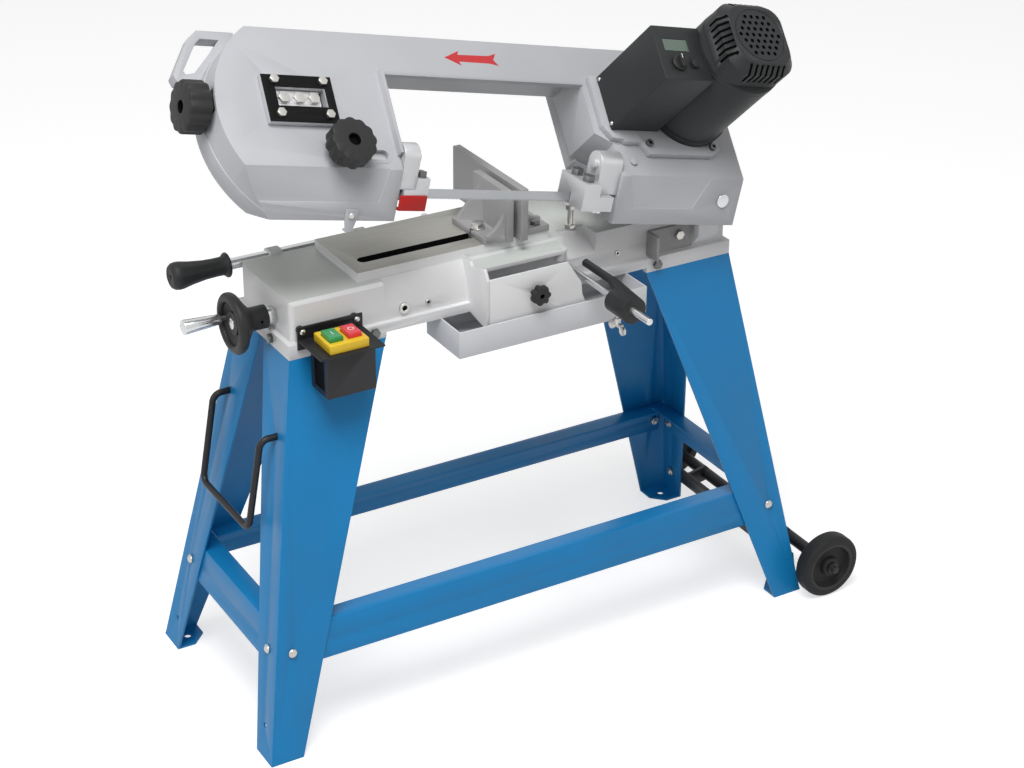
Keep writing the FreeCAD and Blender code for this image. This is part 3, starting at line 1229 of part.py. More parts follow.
def make_drive():
    """Gearbox, motor with vented end cap, control box and its controls."""
    outline = [(-190, 150), (-190, 74), (-177, 60), (-150, 60), (-140, 41), (-24, 41), (-8, 52),
               (-8, 150)]
    bolt_places = ((-139, 57), (-23, 54))
    flange = extruded("gear_flange", outline, FACE + 0.1, FACE + 11, holes=[(c, 3.02) for c in bolt_places])
    pieces = [flange, round_bar(33, 12, V(DRIVE, BAND_V, FACE - 8)),
              round_bar("Sizes.shaft_radius", 57, V(DRIVE, BAND_V, -13)),
              round_bar(15, 2.6, V(DRIVE, BAND_V, -15))]
    bolts = [hex_bolt(V(u, v, FACE + 11.05), Z_AXIS, 9, 6, 3, 9) for u, v in bolt_places]
    node(group(union(*pieces), *bolts), "gearbox", TILTED)
    top = size("motor_top")
    base = FACE + 11.1
    square = rounded_square(59, 34)
    under_cap = 210
    body = [round_bar("Sizes.motor_radius", under_cap + 4 - base, V(0, 0, base)),
            round_bar("Sizes.motor_radius + 3", 10, V(0, 0, base)),
            extruded("motor_cap", square, under_cap, top - 14),
            lofted(outline_profile(square, top - 14), outline_profile(rounded_square(47, 26), top))]
    at_motor = FreeCAD.Placement(V(MOTOR_U, MOTOR_V, 0), FreeCAD.Rotation())
    node(union(*body), "motor", TILTED.multiply(at_motor))
    box = span((-200, -116), (78, 165), (base, BOX_TOP))
    tools = [round_bar("Sizes.motor_radius + 3.4", 11, V(MOTOR_U, MOTOR_V, base - 0.5)),
             round_bar("Sizes.motor_radius + 0.4", 400, V(MOTOR_U, MOTOR_V, 0)),
             span((-187, -144), (125, 144), (BOX_TOP - 1.5, BOX_TOP + 1))]
    for u, v, radius in CONTROLS:
        tools.append(round_bar(radius, 12, V(u, v, BOX_TOP - 11)))
    node(minus(box, *tools), "control_box", TILTED)
    (ku, kv, kr), (bu, bv, br) = CONTROLS
    knob = union(round_bar("Sizes.speed_knob", 11, V(0, 0, 0.4)), round_bar(kr - 0.05, 11, V(0, 0, -10)),
                 span((-1, 1), (3, 10.5), (11, 12.4)))
    node(knob, "speed_knob", TILTED.multiply(FreeCAD.Placement(V(ku, kv, BOX_TOP), FreeCAD.Rotation())))
    button = union(round_bar(br - 0.1, 12, V(0, 0, -6)), round_bar(br - 2, 3, V(0, 0, -8)))
    node(button, "reset_button", TILTED.multiply(FreeCAD.Placement(V(bu, bv, BOX_TOP), FreeCAD.Rotation())))


make_bow_casting()
make_covers()
make_pin()
band_wheel("idler_wheel", IDLER, 10.06)
band_wheel("drive_wheel", DRIVE, 10.06)
make_blade()
make_tension()
make_guides()
make_drive()


# ---------------------------------------------------------------- check and write
def write_parts():
    doc.recompute()
    faults = []
    for obj in doc.Objects:
        if "Invalid" in obj.State or "Error" in obj.State:
            faults.append("%s state %s" % (obj.Name, obj.State))
    for obj in nodes:
        if obj.Shape.isNull() or not obj.Shape.isValid() or not obj.Shape.Solids:
            faults.append("%s shape" % obj.Label)
    if faults:
        raise RuntimeError("; ".join(faults))
    os.makedirs("parts", exist_ok=True)
    for obj in nodes:
        obj.Shape.exportStep("parts/%s.step" % obj.Label)
        print("%-22s solids %d volume %.0f" % (obj.Label, len(obj.Shape.Solids), obj.Shape.Volume))
    print(len(nodes), "nodes")


write_parts()
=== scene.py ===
"""Looks of the horizontal band saw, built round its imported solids.  Lengths are typed in millimetres."""
import json
import math

import bmesh
import bpy
from mathutils import Matrix, Vector

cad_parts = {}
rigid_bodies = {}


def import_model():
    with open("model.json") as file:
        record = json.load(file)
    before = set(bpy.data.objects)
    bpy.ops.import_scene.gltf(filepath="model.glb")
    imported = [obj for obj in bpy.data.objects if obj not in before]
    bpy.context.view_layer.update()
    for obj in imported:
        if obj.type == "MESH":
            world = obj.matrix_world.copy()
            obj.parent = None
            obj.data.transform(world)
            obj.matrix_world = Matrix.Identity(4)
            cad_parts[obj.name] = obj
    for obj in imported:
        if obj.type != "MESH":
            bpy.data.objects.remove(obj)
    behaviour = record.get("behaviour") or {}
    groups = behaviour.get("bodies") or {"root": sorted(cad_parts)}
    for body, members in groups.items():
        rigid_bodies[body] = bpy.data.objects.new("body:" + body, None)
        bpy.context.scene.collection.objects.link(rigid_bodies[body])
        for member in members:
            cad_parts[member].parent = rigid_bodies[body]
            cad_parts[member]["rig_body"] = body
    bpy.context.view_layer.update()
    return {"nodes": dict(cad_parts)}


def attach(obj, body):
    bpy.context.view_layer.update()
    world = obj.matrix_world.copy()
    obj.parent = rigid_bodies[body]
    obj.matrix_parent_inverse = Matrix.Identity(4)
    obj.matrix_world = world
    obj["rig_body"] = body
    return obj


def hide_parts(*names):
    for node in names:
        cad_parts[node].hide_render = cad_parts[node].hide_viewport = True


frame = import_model()

MM = 0.001
SHARP = 38          # edges steeper than this many degrees are shaded sharp
BEVEL_STEPS = 2
BEVEL_FROM = 32     # edges flatter than this many degrees are not rounded
ROUGH_SPREAD = 0.08

# ------------------------------------------------------------------ places
# The bow's frame is tilted about the blade; z is the axis of both band wheels.
BLADE_ORIGIN = Vector((327.475, -100, 693.168))
UPRIGHT = Matrix.Translation(BLADE_ORIGIN) @ Matrix.Rotation(math.radians(12.58), 4, "Y")
TILTED = UPRIGHT @ Matrix.Rotation(math.radians(43), 4, "X")
WORLD = Matrix.Identity(4)
FACE = 49.0        # front face of the bow's wheel boxes in that frame


def at(x, y, z, axis="Z"):
    """A place whose z runs along the named axis."""
    turns = {"Z": Matrix.Identity(4), "X": Matrix.Rotation(math.pi / 2, 4, "Y"),
             "-X": Matrix.Rotation(-math.pi / 2, 4, "Y"), "-Y": Matrix.Rotation(math.pi / 2, 4, "X"),
             "Y": Matrix.Rotation(-math.pi / 2, 4, "X"), "-Z": Matrix.Rotation(math.pi, 4, "X")}
    return Matrix.Translation((x, y, z)) @ turns[axis]


# ------------------------------------------------------------------ materials
def linear(channel):
    """One sRGB channel, 0 to 255, as linear light."""
    channel /= 255.0
    return channel / 12.92 if channel <= 0.04045 else ((channel + 0.055) / 1.055) ** 2.4


def colour(rgb):
    return (linear(rgb[0]), linear(rgb[1]), linear(rgb[2]), 1.0)


def make_material(name, rgb, rough=0.45, metal=0.0, grain=900.0, height=0.12, mottle=0.06,
                  stretch=(1, 1, 1), coat=0.0, speck=0.0, shine=0.5):
    """Colour with slow mottling, roughness variation and a fine surface grain as bump."""
    mat = bpy.data.materials.new(name)
    mat.use_nodes = True
    tree = mat.node_tree
    nodes, links = tree.nodes, tree.links
    shader = nodes["Principled BSDF"]
    shader.inputs["Metallic"].default_value = metal
    shader.inputs["Specular IOR Level"].default_value = shine
    if coat:
        shader.inputs["Coat Weight"].default_value = coat
        shader.inputs["Coat Roughness"].default_value = 0.12
    place = nodes.new("ShaderNodeTexCoord")
    mapping = nodes.new("ShaderNodeMapping")
    mapping.inputs["Scale"].default_value = stretch
    links.new(place.outputs["Object"], mapping.inputs["Vector"])
    slow = nodes.new("ShaderNodeTexNoise")
    slow.inputs["Scale"].default_value = 7.0
    slow.inputs["Detail"].default_value = 4.0
    links.new(place.outputs["Object"], slow.inputs["Vector"])
    fine = nodes.new("ShaderNodeTexNoise")
    fine.inputs["Scale"].default_value = grain
    fine.inputs["Detail"].default_value = 3.0
    links.new(mapping.outputs["Vector"], fine.inputs["Vector"])
    dark = [c * (1 - mottle) for c in colour(rgb)[:3]] + [1.0]
    light = [min(1.0, c * (1 + mottle)) for c in colour(rgb)[:3]] + [1.0]
    ramp = nodes.new("ShaderNodeValToRGB")
    ramp.color_ramp.elements[0].position = 0.3
    ramp.color_ramp.elements[0].color = dark
    ramp.color_ramp.elements[1].position = 0.7
    ramp.color_ramp.elements[1].color = light
    links.new(slow.outputs["Fac"], ramp.inputs["Fac"])
    base = ramp.outputs["Color"]
    if speck:
        spots = nodes.new("ShaderNodeMapRange")
        spots.inputs["From Min"].default_value = 0.35
        spots.inputs["From Max"].default_value = 0.65
        spots.inputs["To Min"].default_value = 1 - speck
        spots.inputs["To Max"].default_value = 1 + speck
        links.new(fine.outputs["Fac"], spots.inputs["Value"])
        scale = nodes.new("ShaderNodeVectorMath")
        scale.operation = "SCALE"
        links.new(base, scale.inputs[0])
        links.new(spots.outputs["Result"], scale.inputs["Scale"])
        base = scale.outputs["Vector"]
    links.new(base, shader.inputs["Base Color"])
    worn = nodes.new("ShaderNodeMapRange")
    worn.inputs["From Min"].default_value = 0.3
    worn.inputs["From Max"].default_value = 0.7
    worn.inputs["To Min"].default_value = max(0.02, rough - ROUGH_SPREAD)
    worn.inputs["To Max"].default_value = min(1.0, rough + ROUGH_SPREAD)
    links.new(slow.outputs["Fac"], worn.inputs["Value"])
    links.new(worn.outputs["Result"], shader.inputs["Roughness"])
    bump = nodes.new("ShaderNodeBump")
    bump.inputs["Strength"].default_value = height
    bump.inputs["Distance"].default_value = 0.0004
    links.new(fine.outputs["Fac"], bump.inputs["Height"])
    links.new(bump.outputs["Normal"], shader.inputs["Normal"])
    return mat


M = {
    "stand": make_material("stand_blue", (18, 124, 184), 0.42, grain=700, height=0.10, mottle=0.05,
                           shine=0.35),
    "base": make_material("base_grey", (218, 218, 219), 0.42, grain=420, height=0.16, mottle=0.035),
    "top": make_material("base_top_paint", (196, 200, 196), 0.45, grain=420, height=0.16, mottle=0.035),
    "table": make_material("table_ground", (160, 159, 152), 0.42, 0.25, grain=300, height=0.10,
                           mottle=0.05, stretch=(0.06, 1, 1), speck=0.05),
    "tray": make_material("tray_grey", (208, 209, 212), 0.38, grain=600, height=0.08, mottle=0.03),
    "bow": make_material("bow_grey", (178, 179, 183), 0.42, grain=420, height=0.14, mottle=0.035,
                         shine=0.4),
    "jaw": make_material("jaw_casting", (156, 155, 156), 0.5, 0.15, grain=350, height=0.28, mottle=0.07),
    "black_paint": make_material("black_paint", (30, 30, 33), 0.42, grain=700, height=0.10, mottle=0.10,
                                 shine=0.3),
    "black_plate": make_material("black_plate", (8, 8, 9), 0.5, grain=500, height=0.06, mottle=0.12,
                                 shine=0.12),
    "grey_bracket": make_material("bracket_grey", (140, 138, 138), 0.45, grain=500, height=0.12,
                                  mottle=0.05),
    "zinc": make_material("zinc_bolt", (190, 188, 184), 0.28, 0.9, grain=500, height=0.06, mottle=0.10),
    "dark_bolt": make_material("dark_bolt", (104, 106, 105), 0.33, 0.8, grain=500, height=0.08,
                               mottle=0.12),
    "bright": make_material("ground_steel", (208, 209, 210), 0.22, 0.9, grain=260, height=0.06,
                            mottle=0.05, stretch=(0.05, 1, 1)),
    "machined": make_material("machined_block", (198, 199, 201), 0.34, 0.45, grain=300, height=0.08,
                              mottle=0.05, stretch=(1, 0.1, 1)),
    "blade": make_material("blade_steel", (165, 167, 170), 0.30, 0.9, grain=260, height=0.05,
                           mottle=0.08, stretch=(0.05, 1, 1)),
    "band_wheel": make_material("band_wheel_casting", (120, 122, 126), 0.45, 0.6, grain=240, height=0.2),
    "plastic": make_material("black_plastic", (36, 36, 37), 0.52, grain=800, height=0.16, mottle=0.08,
                             shine=0.3),
    "soft_plastic": make_material("grip_plastic", (28, 29, 30), 0.48, grain=700, height=0.18, mottle=0.08,
                                  shine=0.35),
    "motor": make_material("motor_black", (38, 40, 41), 0.48, grain=650, height=0.16, mottle=0.07,
                           shine=0.28),
    "rubber": make_material("wheel_rubber", (20, 20, 21), 0.62, grain=500, height=0.22, mottle=0.10,
                            shine=0.3),
    # near-black painted shade for recesses, slots, holes and open sides
    "painted_shade": make_material("painted_shade_black", (6, 6, 7), 0.8, grain=300, height=0.1, shine=0.1),
    "yellow": make_material("switch_yellow", (228, 190, 36), 0.35, grain=700, height=0.06, mottle=0.04),
    "green": make_material("start_green", (22, 142, 76), 0.30, grain=700, height=0.05, mottle=0.04,
                           coat=0.3),
    "red": make_material("stop_red", (218, 44, 62), 0.30, grain=700, height=0.05, mottle=0.04, coat=0.3),
    "guard": make_material("guard_red", (176, 28, 24), 0.35, grain=600, height=0.08, mottle=0.06,
                           shine=0.3),
    "arrow": make_material("arrow_red", (188, 44, 48), 0.42, grain=600, height=0.06, mottle=0.05),
    "glass": make_material("display_glass", (84, 102, 90), 0.16, grain=300, height=0.02, mottle=0.04,
                           coat=0.3),
    "ink": make_material("plain_white_mark", (225, 228, 225), 0.45, grain=600, height=0.03),
}


# ------------------------------------------------------------------ pieces in mesh code
def add_mesh(name, bm, place, material, body, smooth=SHARP):
    """Puts a millimetre mesh at its place, in metres, and lets it ride on a body."""
    bmesh.ops.recalc_face_normals(bm, faces=bm.faces)
    bm.transform(Matrix.Scale(MM, 4) @ place)
    mesh = bpy.data.meshes.new(name)
    bm.to_mesh(mesh)
    bm.free()
    mesh.materials.append(M[material])
    mesh.polygons.foreach_set("use_smooth", [True] * len(mesh.polygons))
    mesh.set_sharp_from_angle(angle=math.radians(smooth))
    piece = bpy.data.objects.new(name, mesh)
    bpy.context.scene.collection.objects.link(piece)
    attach(piece, body)
    return piece


def bevelled(piece, width):
    """Rounds the piece's edges and bakes the result into its mesh.

    The width is the most an edge can get: the clamp lowers it for the whole piece where the solid
    has very short edges, so that some pieces stay almost sharp.
    """
    bevel = piece.modifiers.new("edges", "BEVEL")
    bevel.width = width * MM
    bevel.segments = BEVEL_STEPS
    bevel.limit_method = "ANGLE"
    bevel.angle_limit = math.radians(BEVEL_FROM)
    bevel.use_clamp_overlap = True
    bevel.harden_normals = False
    settle(piece)
    return piece


def settle(piece):
    """Applies the modifiers of a piece to its mesh."""
    bpy.context.view_layer.update()
    graph = bpy.context.evaluated_depsgraph_get()
    mesh = bpy.data.meshes.new_from_object(piece.evaluated_get(graph))
    piece.modifiers.clear()
    old = piece.data
    piece.data = mesh
    bpy.data.meshes.remove(old)
    mesh.polygons.foreach_set("use_smooth", [True] * len(mesh.polygons))
    mesh.set_sharp_from_angle(angle=math.radians(SHARP))


def cut_with(piece, tool_bm, place):
    """Cuts the tool's shape out of the piece."""
    bmesh.ops.recalc_face_normals(tool_bm, faces=tool_bm.faces)
    tool_bm.transform(Matrix.Scale(MM, 4) @ place)
    mesh = bpy.data.meshes.new("tool")
    tool_bm.to_mesh(mesh)
    tool_bm.free()
    tool = bpy.data.objects.new("tool", mesh)
    bpy.context.scene.collection.objects.link(tool)
    cut = piece.modifiers.new("cut", "BOOLEAN")
    cut.operation = "DIFFERENCE"
    cut.solver = "EXACT"
    cut.use_self = True
    cut.object = tool
    settle(piece)
    bpy.data.objects.remove(tool)
    bpy.data.meshes.remove(mesh)


def body_of(node):
    return frame["nodes"][node]["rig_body"]


def stand_for(node):
    """Hides the node, so that the piece is shown in its place."""
    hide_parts(node)


def dress(node, material, bevel):
    """A copy of a solid with merged flat faces, its edges rounded as far as bevelled() can."""
    bm = bmesh.new()
    bm.from_mesh(frame["nodes"][node].data)
    bmesh.ops.remove_doubles(bm, verts=bm.verts, dist=2e-6)
    bmesh.ops.dissolve_limit(bm, angle_limit=math.radians(0.4), verts=bm.verts, edges=bm.edges)
    bm.transform(Matrix.Scale(1 / MM, 4))
    piece = add_mesh(node + "_shown", bm, WORLD, material, body_of(node))
    if bevel:
        bevelled(piece, bevel)
    stand_for(node)
    return piece


def paint(piece, material, test, place=WORLD):
    """Finishes the faces whose centre and normal, in a place's own millimetres, pass a test."""
    piece.data.materials.append(M[material])
    index = len(piece.data.materials) - 1
    back = place.inverted()
    turn = back.to_3x3()
    for face in piece.data.polygons:
        if test(back @ (face.center / MM), turn @ face.normal):
            face.material_index = index


def add_prism(bm, outline, z0, z1, place=WORLD):
    """Adds an upright prism of a closed outline to a mesh."""
    low = [bm.verts.new(place @ Vector((x, y, z0))) for x, y in outline]
    high = [bm.verts.new(place @ Vector((x, y, z1))) for x, y in outline]
    bm.faces.new(low[::-1])
    bm.faces.new(high)
    count = len(outline)
    for i in range(count):
        j = (i + 1) % count
        bm.faces.new((low[i], low[j], high[j], high[i]))
    return bm


def ring(radius, count, turn=0.0):
    return [(radius * math.cos(turn + 2 * math.pi * i / count),
             radius * math.sin(turn + 2 * math.pi * i / count)) for i in range(count)]


def prism(outline, z0, z1, place=WORLD):
    return add_prism(bmesh.new(), outline, z0, z1, place)


def box(x0, x1, y0, y1, z0, z1):
    return prism([(x0, y0), (x1, y0), (x1, y1), (x0, y1)], z0, z1)


def add_detail(name, bm, place, material, node, bevel=0.0):
    """A small detail that belongs to a node: it rides with the node's body."""
    piece = add_mesh(name, bm, place, material, body_of(node))
    if bevel:
        bevelled(piece, bevel)
    return piece


def lathe(profile, steps=64, bm=None, wave=None, closed=False):
    """Turns a profile of (radius, height) about z; wave(angle, radius, height) may reshape it.

    An open profile is capped with flat discs, a closed one returns to its start as a ring.
    """
    bm = bm or bmesh.new()
    rows = []
    for r, h in profile:
        if r < 1e-6:
            rows.append([bm.verts.new((0, 0, h))])
            continue
        row = []
        for k in range(steps):
            angle = 2 * math.pi * k / steps
            radius = wave(angle, r, h) if wave else r
            row.append(bm.verts.new((radius * math.cos(angle), radius * math.sin(angle), h)))
        rows.append(row)
    pairs = list(zip(rows, rows[1:]))
    if closed:
        pairs.append((rows[-1], rows[0]))
    for a, b in pairs:
        for k in range(steps):
            j = (k + 1) % steps
            if len(a) == 1 and len(b) == 1:
                continue
            if len(a) == 1:
                bm.faces.new((a[0], b[j], b[k]))
            elif len(b) == 1:
                bm.faces.new((a[k], a[j], b[0]))
            else:
                bm.faces.new((a[k], a[j], b[j], b[k]))
    if not closed:
        for end, flip in ((rows[0], False), (rows[-1], True)):
            if len(end) > 1:
                bm.faces.new(end[::-1] if flip else end)
    return bm


# ------------------------------------------------------------------ the stand
for name in ("front_left", "front_right", "rear_left", "rear_right"):
    dress("leg_" + name, "stand", 0.9)
for name in ("front", "rear", "left", "right"):
    dress("rail_" + name, "stand", 0.9)
dress("dome_bolts", "zinc", 0.5)
dress("lift_handle", "black_paint", 0.4)
dress("wheel_bracket", "black_paint", 0.6)


WHEEL_X, AXLE_Z = 510, 55


def make_wheel(node, y, side):
    """Solid wheel: tread with shoulders, dished web, moulded ring and hub."""
    profile = [(6.3, 0), (14, 0), (15.5, 1.5), (17, 8.5), (24, 9.5), (34, 9), (36.5, 6), (38, 1.2),
               (40, 0.4), (48, 0.2), (52, 1.2), (54.2, 3.6), (54.9, 7), (54.9, 21), (54.2, 24.4),
               (52, 26.8), (48, 27.8), (40, 27.6), (38, 26.8), (36.5, 22), (34, 19), (24, 18.5),
               (17, 19.5), (15.5, 26.5), (14, 27.9), (6.3, 27.9)]
    bm = lathe(profile, 96, closed=True)
    piece = add_mesh(node + "_shown", bm, at(WHEEL_X, y, AXLE_Z, side), "rubber", body_of(node), 30)
    stand_for(node)
    rim = lathe([(37.2, 26.9), (38.6, 28.0), (41.5, 28.0), (42.4, 27.3), (41.0, 26.5)], 96, closed=True)
    rim_piece = add_mesh(node + "_ring", rim, at(WHEEL_X, y, AXLE_Z, side), "plastic", body_of(node), 60)


make_wheel("wheel_front", -212, "-Y")
make_wheel("wheel_rear", 212, "Y")

# ------------------------------------------------------------------ the base
base = dress("base_casting", "base", 0.9)
# painted top, ground table, and the walls of the slot painted near-black as painted shade
paint(base, "top", lambda p, n: n.z > 0.9 and p.z > 640)
paint(base, "table", lambda p, n: n.z > 0.9 and p.z > 685.5)
paint(base, "painted_shade",
      lambda p, n: n.z < 0.9 and 655 < p.z < 685 and abs(p.y + 26) < 10 and -234 < p.x < -3)
paint(dress("hex_bolts", "dark_bolt", 0.6), "zinc", lambda p, n: p.x > 270 and p.z > 625)
dress("chip_tray", "tray", 0.5)
dress("chute_panel", "base", 0.4)
dress("fixed_jaw", "jaw", 0.9)
dress("movable_jaw", "jaw", 0.9)
dress("jaw_nut", "zinc", 0.5)
dress("vice_screw", "bright", 0.5)
dress("down_stop", "zinc", 0.5)
dress("stop_bracket", "grey_bracket", 0.7)
dress("stop_rod", "bright", 0.7)
dress("stop_finger", "soft_plastic", 1.0)
dress("wing_screw", "zinc", 0.7)
dress("pull_rod", "bright", 0.5)
dress("handwheel", "plastic", 0.8)
dress("crank_grip", "bright", 0.8)
bracket = dress("switch_bracket", "black_paint", 0.5)
paint(bracket, "zinc",
      lambda p, n: p.y < -93.2 and p.z > 626 and min(abs(p.x + 354), abs(p.x + 270)) < 5)
unit = dress("switch_unit", "yellow", 0.7)
paint(unit, "plastic", lambda p, n: p.z < 619)
# near-black sheet on the switch bracket's side: painted shade where that side lies in shadow
add_detail("switch_side_shade", box(-343.4, -342.6, -143, -108, 555, 609), WORLD, "painted_shade",
           "switch_bracket")
dress("button_start", "green", 0.5)
dress("button_stop", "red", 0.5)
# plain bar and ring on the two buttons
CROWN = 640         # height of the button caps
SUNK, PROUD = 0.5, 0.08
add_detail("start_mark", box(-328.1, -326.9, -136, -126, CROWN - SUNK, CROWN + PROUD), WORLD,
           "ink", "button_start")
add_detail("stop_mark", lathe([(3.4, -SUNK), (4.6, -SUNK), (4.6, PROUD), (3.4, PROUD)], 40, closed=True),
           at(-298.5, -131, CROWN), "ink", "button_stop")


def socket_screw(name, place, radius, height, material, node, floor=0.7):
    """Round screw head with a socket sunk in its top; the socket's floor is a near-black hexagon of
    painted shade.
    """
    rim = radius * 0.5
    head = lathe([(rim, height - floor), (rim, height - 0.3), (rim + 0.3, height), (radius - 0.5, height),
                  (radius, height - 0.5), (radius, 0), (radius - 1, 0)], 40, closed=True)
    add_detail(name, head, place, material, node)
    # near-black hexagon at the bottom of the socket: painted shade
    add_detail(name + "_socket_shade", prism(ring(rim + 0.2, 6), height - floor - 0.3, height - floor), place,
               "painted_shade", node)


# plugs in the front wall of the base
for number, (x, z, radius, height) in enumerate(((-189.5, 626, 8.2, 3.8), (-150.5, 626, 4.7, 2.8),
                                                 (172, 631.6, 4.2, 3.2))):
    socket_screw("base_plug_%d" % number, at(x, -82, z, "-Y"), radius, height, "zinc",
                 "base_casting", 0.6)

# flange, waist, swelling end and a shallow dimple, from the bar outwards
GRIP = [(8.6, 0.2), (17.6, 0.2), (18.4, 1.0), (18.4, 3.2), (16.4, 5.2), (13.8, 9), (13.5, 20),
        (14.3, 38), (17.0, 58), (19.9, 72), (20.4, 78), (19.5, 84), (16.5, 88), (12.5, 89.6),
        (10.6, 88.6), (4, 88.2), (3.4, 86.5), (0, 86.4)]
grip = lathe(GRIP, 72,
             wave=lambda a, r, h: r + (0.28 * math.cos(10 * a) if 12 < h < 80 else 0))
grip_piece = add_mesh("pull_grip_shown", grip, at(-381, 96, 665, "-X"), "soft_plastic", "pull_handle", 50)
stand_for("pull_grip")


def lobed(outer, inner, count):
    """Radius function of a hand knob with rounded lobes."""
    def reshape(angle, radius):
        share = 0.5 + 0.5 * math.cos(count * angle)
        return radius * (inner + (outer - inner) * share ** 0.7) / outer
    return reshape


def make_knob(node, outer, inner, count, grip, hub, place, body, dent=9.0):
    """Hand knob: lobed grip with rounded rims, a hub below it and a recess on top, whose walls and floor
    are painted near-black as painted shade.
    """
    bottom, top = grip
    profile = [(dent, top - 9), (dent, top - 0.8), (dent + 0.8, top), (outer - 2.6, top),
               (outer - 0.9, top - 0.7), (outer, top - 2.6), (outer, bottom + 2.6),
               (outer - 0.9, bottom + 0.7), (outer - 2.6, bottom),
               (hub[0] + 1, bottom)]
    lobes = lobed(outer, inner, count)
    bm = lathe(profile, 12 * count,
               wave=lambda a, r, h: lobes(a, r) if r > dent + 2 and r > hub[0] + 2 else r)
    lathe([(hub[0], bottom + 0.5), (hub[0], hub[1] + 0.8), (hub[0] - 0.8, hub[1])], 48, bm)
    piece = add_mesh(node + "_shown", bm, place, "plastic", body, 40)
    # the recess on top is painted near-black: painted shade
    paint(piece, "painted_shade",
          lambda p, n: bottom < p.z < top - 1 and math.hypot(p.x, p.y) < dent + 0.3, place)
    stand_for(node)


TENSION_PLACE = TILTED @ at(-857, 110, 20, "-X")
GUIDE_PLACE = TILTED @ at(-650, 31, FACE)
make_knob("tension_knob", 36, 33.4, 12, (-32, 0), (20, -34.7),
          TENSION_PLACE, "tension_handle")
neck = lathe([(15, -34.2), (15, -46.6), (14.2, -47)], 40)
lathe([(5.9, -46.5), (5.9, -120.5), (5.2, -121)], 24, neck)
add_mesh("tension_screw", neck, TENSION_PLACE, "dark_bolt", "tension_handle")
make_knob("guide_knob", 34, 31.4, 12, (17, 42), (17, 0.6),
          GUIDE_PLACE, "guide_clamp")
clamp = lathe([(19.5, 0.55), (19.5, 3.2), (18.6, 4.0)], 48)
lathe([(4.9, 0.6), (4.9, -15.5)], 24, clamp)
add_mesh("guide_washer", clamp, GUIDE_PLACE, "dark_bolt", "guide_clamp")
make_knob("star_knob", 15.5, 12.3, 7, (0, 13), (7, -2.9), at(-2, -142.3, 629, "-Y"), "panel_knob",
          dent=3.5)

# ------------------------------------------------------------------ the bow
for node, material, width in (
        ("bow_casting", "bow", 1.2), ("cover_idler", "bow", 0.6), ("cover_drive", "bow", 0.6),
        ("hinge_pin", "bright", 0.6), ("idler_wheel", "band_wheel", 0.6),
        ("drive_wheel", "band_wheel", 0.6), ("tension_bolts", "zinc", 0.5),
        ("guide_arm_left", "machined", 0.8), ("bearings_left", "bright", 0.4),
        ("blade_guard", "guard", 0.4), ("guide_arm_right", "machined", 0.8),
        ("bearings_right", "bright", 0.4), ("reset_button", "plastic", 0.7), ("blade", "blade", 0.0)):
    dress(node, material, width)

plate = dress("tension_plate", "machined", 0.7)
paint(plate, "black_plate", lambda p, n: n.z > 0.8, TILTED)
slide = dress("idler_slide", "machined", 0.5)
paint(slide, "zinc", lambda p, n: p.z > FACE + 2.2, TILTED)
for node in ("guide_block_left", "guide_block_right"):
    paint(dress(node, "machined", 0.7), "dark_bolt", lambda p, n: p.z > 30.1, UPRIGHT)
tab = dress("stop_tab", "bow", 0.5)
paint(tab, "zinc", lambda p, n: p.y < -29.7, UPRIGHT)
flange = dress("gearbox", "bow", 0.8)
paint(flange, "dark_bolt", lambda p, n: p.z > FACE + 11.1, TILTED)


def outline_ring(outer, inner, z0, z1):
    """A flat ring between two outlines with the same number of points."""
    bm = bmesh.new()
    loops = [[bm.verts.new((x, y, z)) for x, y in loop] for loop, z in
             ((outer, z0), (outer, z1), (inner, z1), (inner, z0))]
    for a, b in zip(loops, loops[1:] + loops[:1]):
        for k in range(len(a)):
            j = (k + 1) % len(a)
            bm.faces.new((a[k], a[j], b[j], b[k]))
    return bm


def capsule(x0, x1, y, half, count=12):
    """Outline of a slot with round ends."""
    turns = [math.pi * (k / count - 0.5) for k in range(count + 1)]
    right = [(x1 + half * math.cos(a), y + half * math.sin(a)) for a in turns]
    left = [(x0 - half * math.cos(a), y - half * math.sin(a)) for a in turns]
    return right + left


# raised pad round the guide slot
pad = outline_ring(capsule(-650, -585, 31, 13), capsule(-650, -585, 31, 7.2), FACE - 0.4, FACE + 0.5)
add_detail("slot_pad", pad, TILTED, "bow", "bow_casting")

# cross-slotted screw of the stop tab, its slots drawn as near-black painted shade; hexagon screw on the
# face, cap screws of the gearbox flange
TAB_SCREW = UPRIGHT @ at(-629, -32.1, -24, "-Y")
for number, turn in enumerate((20, 110)):
    # each slot is a thin near-black bar of painted shade, not a cut
    slot = prism([(-2.6, -0.45), (2.6, -0.45), (2.6, 0.45), (-2.6, 0.45)], -0.8, 0.12,
                 Matrix.Rotation(math.radians(turn), 4, "Z"))
    add_detail("tab_screw_slot_shade_%d" % number, slot, TAB_SCREW, "painted_shade", "stop_tab")
hexagon = prism(ring(6.2, 6, 0.3), FACE - 0.3, FACE + 4.2, Matrix.Translation((-168, 32, 0)))
add_detail("face_screw", hexagon, TILTED, "bow", "bow_casting", 0.6)
for number, (u, v) in enumerate(((-139, 57), (-23, 54))):
    place = TILTED @ at(u, v, FACE + 11)
    socket_screw("flange_screw_%d" % number, place, 5.5, 6.8, "dark_bolt", "gearbox")
    boss = lathe([(5.6, -0.2), (8.2, -0.2), (7.8, 0.9), (5.6, 0.9)], 40, closed=True)
    add_detail("flange_boss_%d" % number, boss, place, "bow", "gearbox")

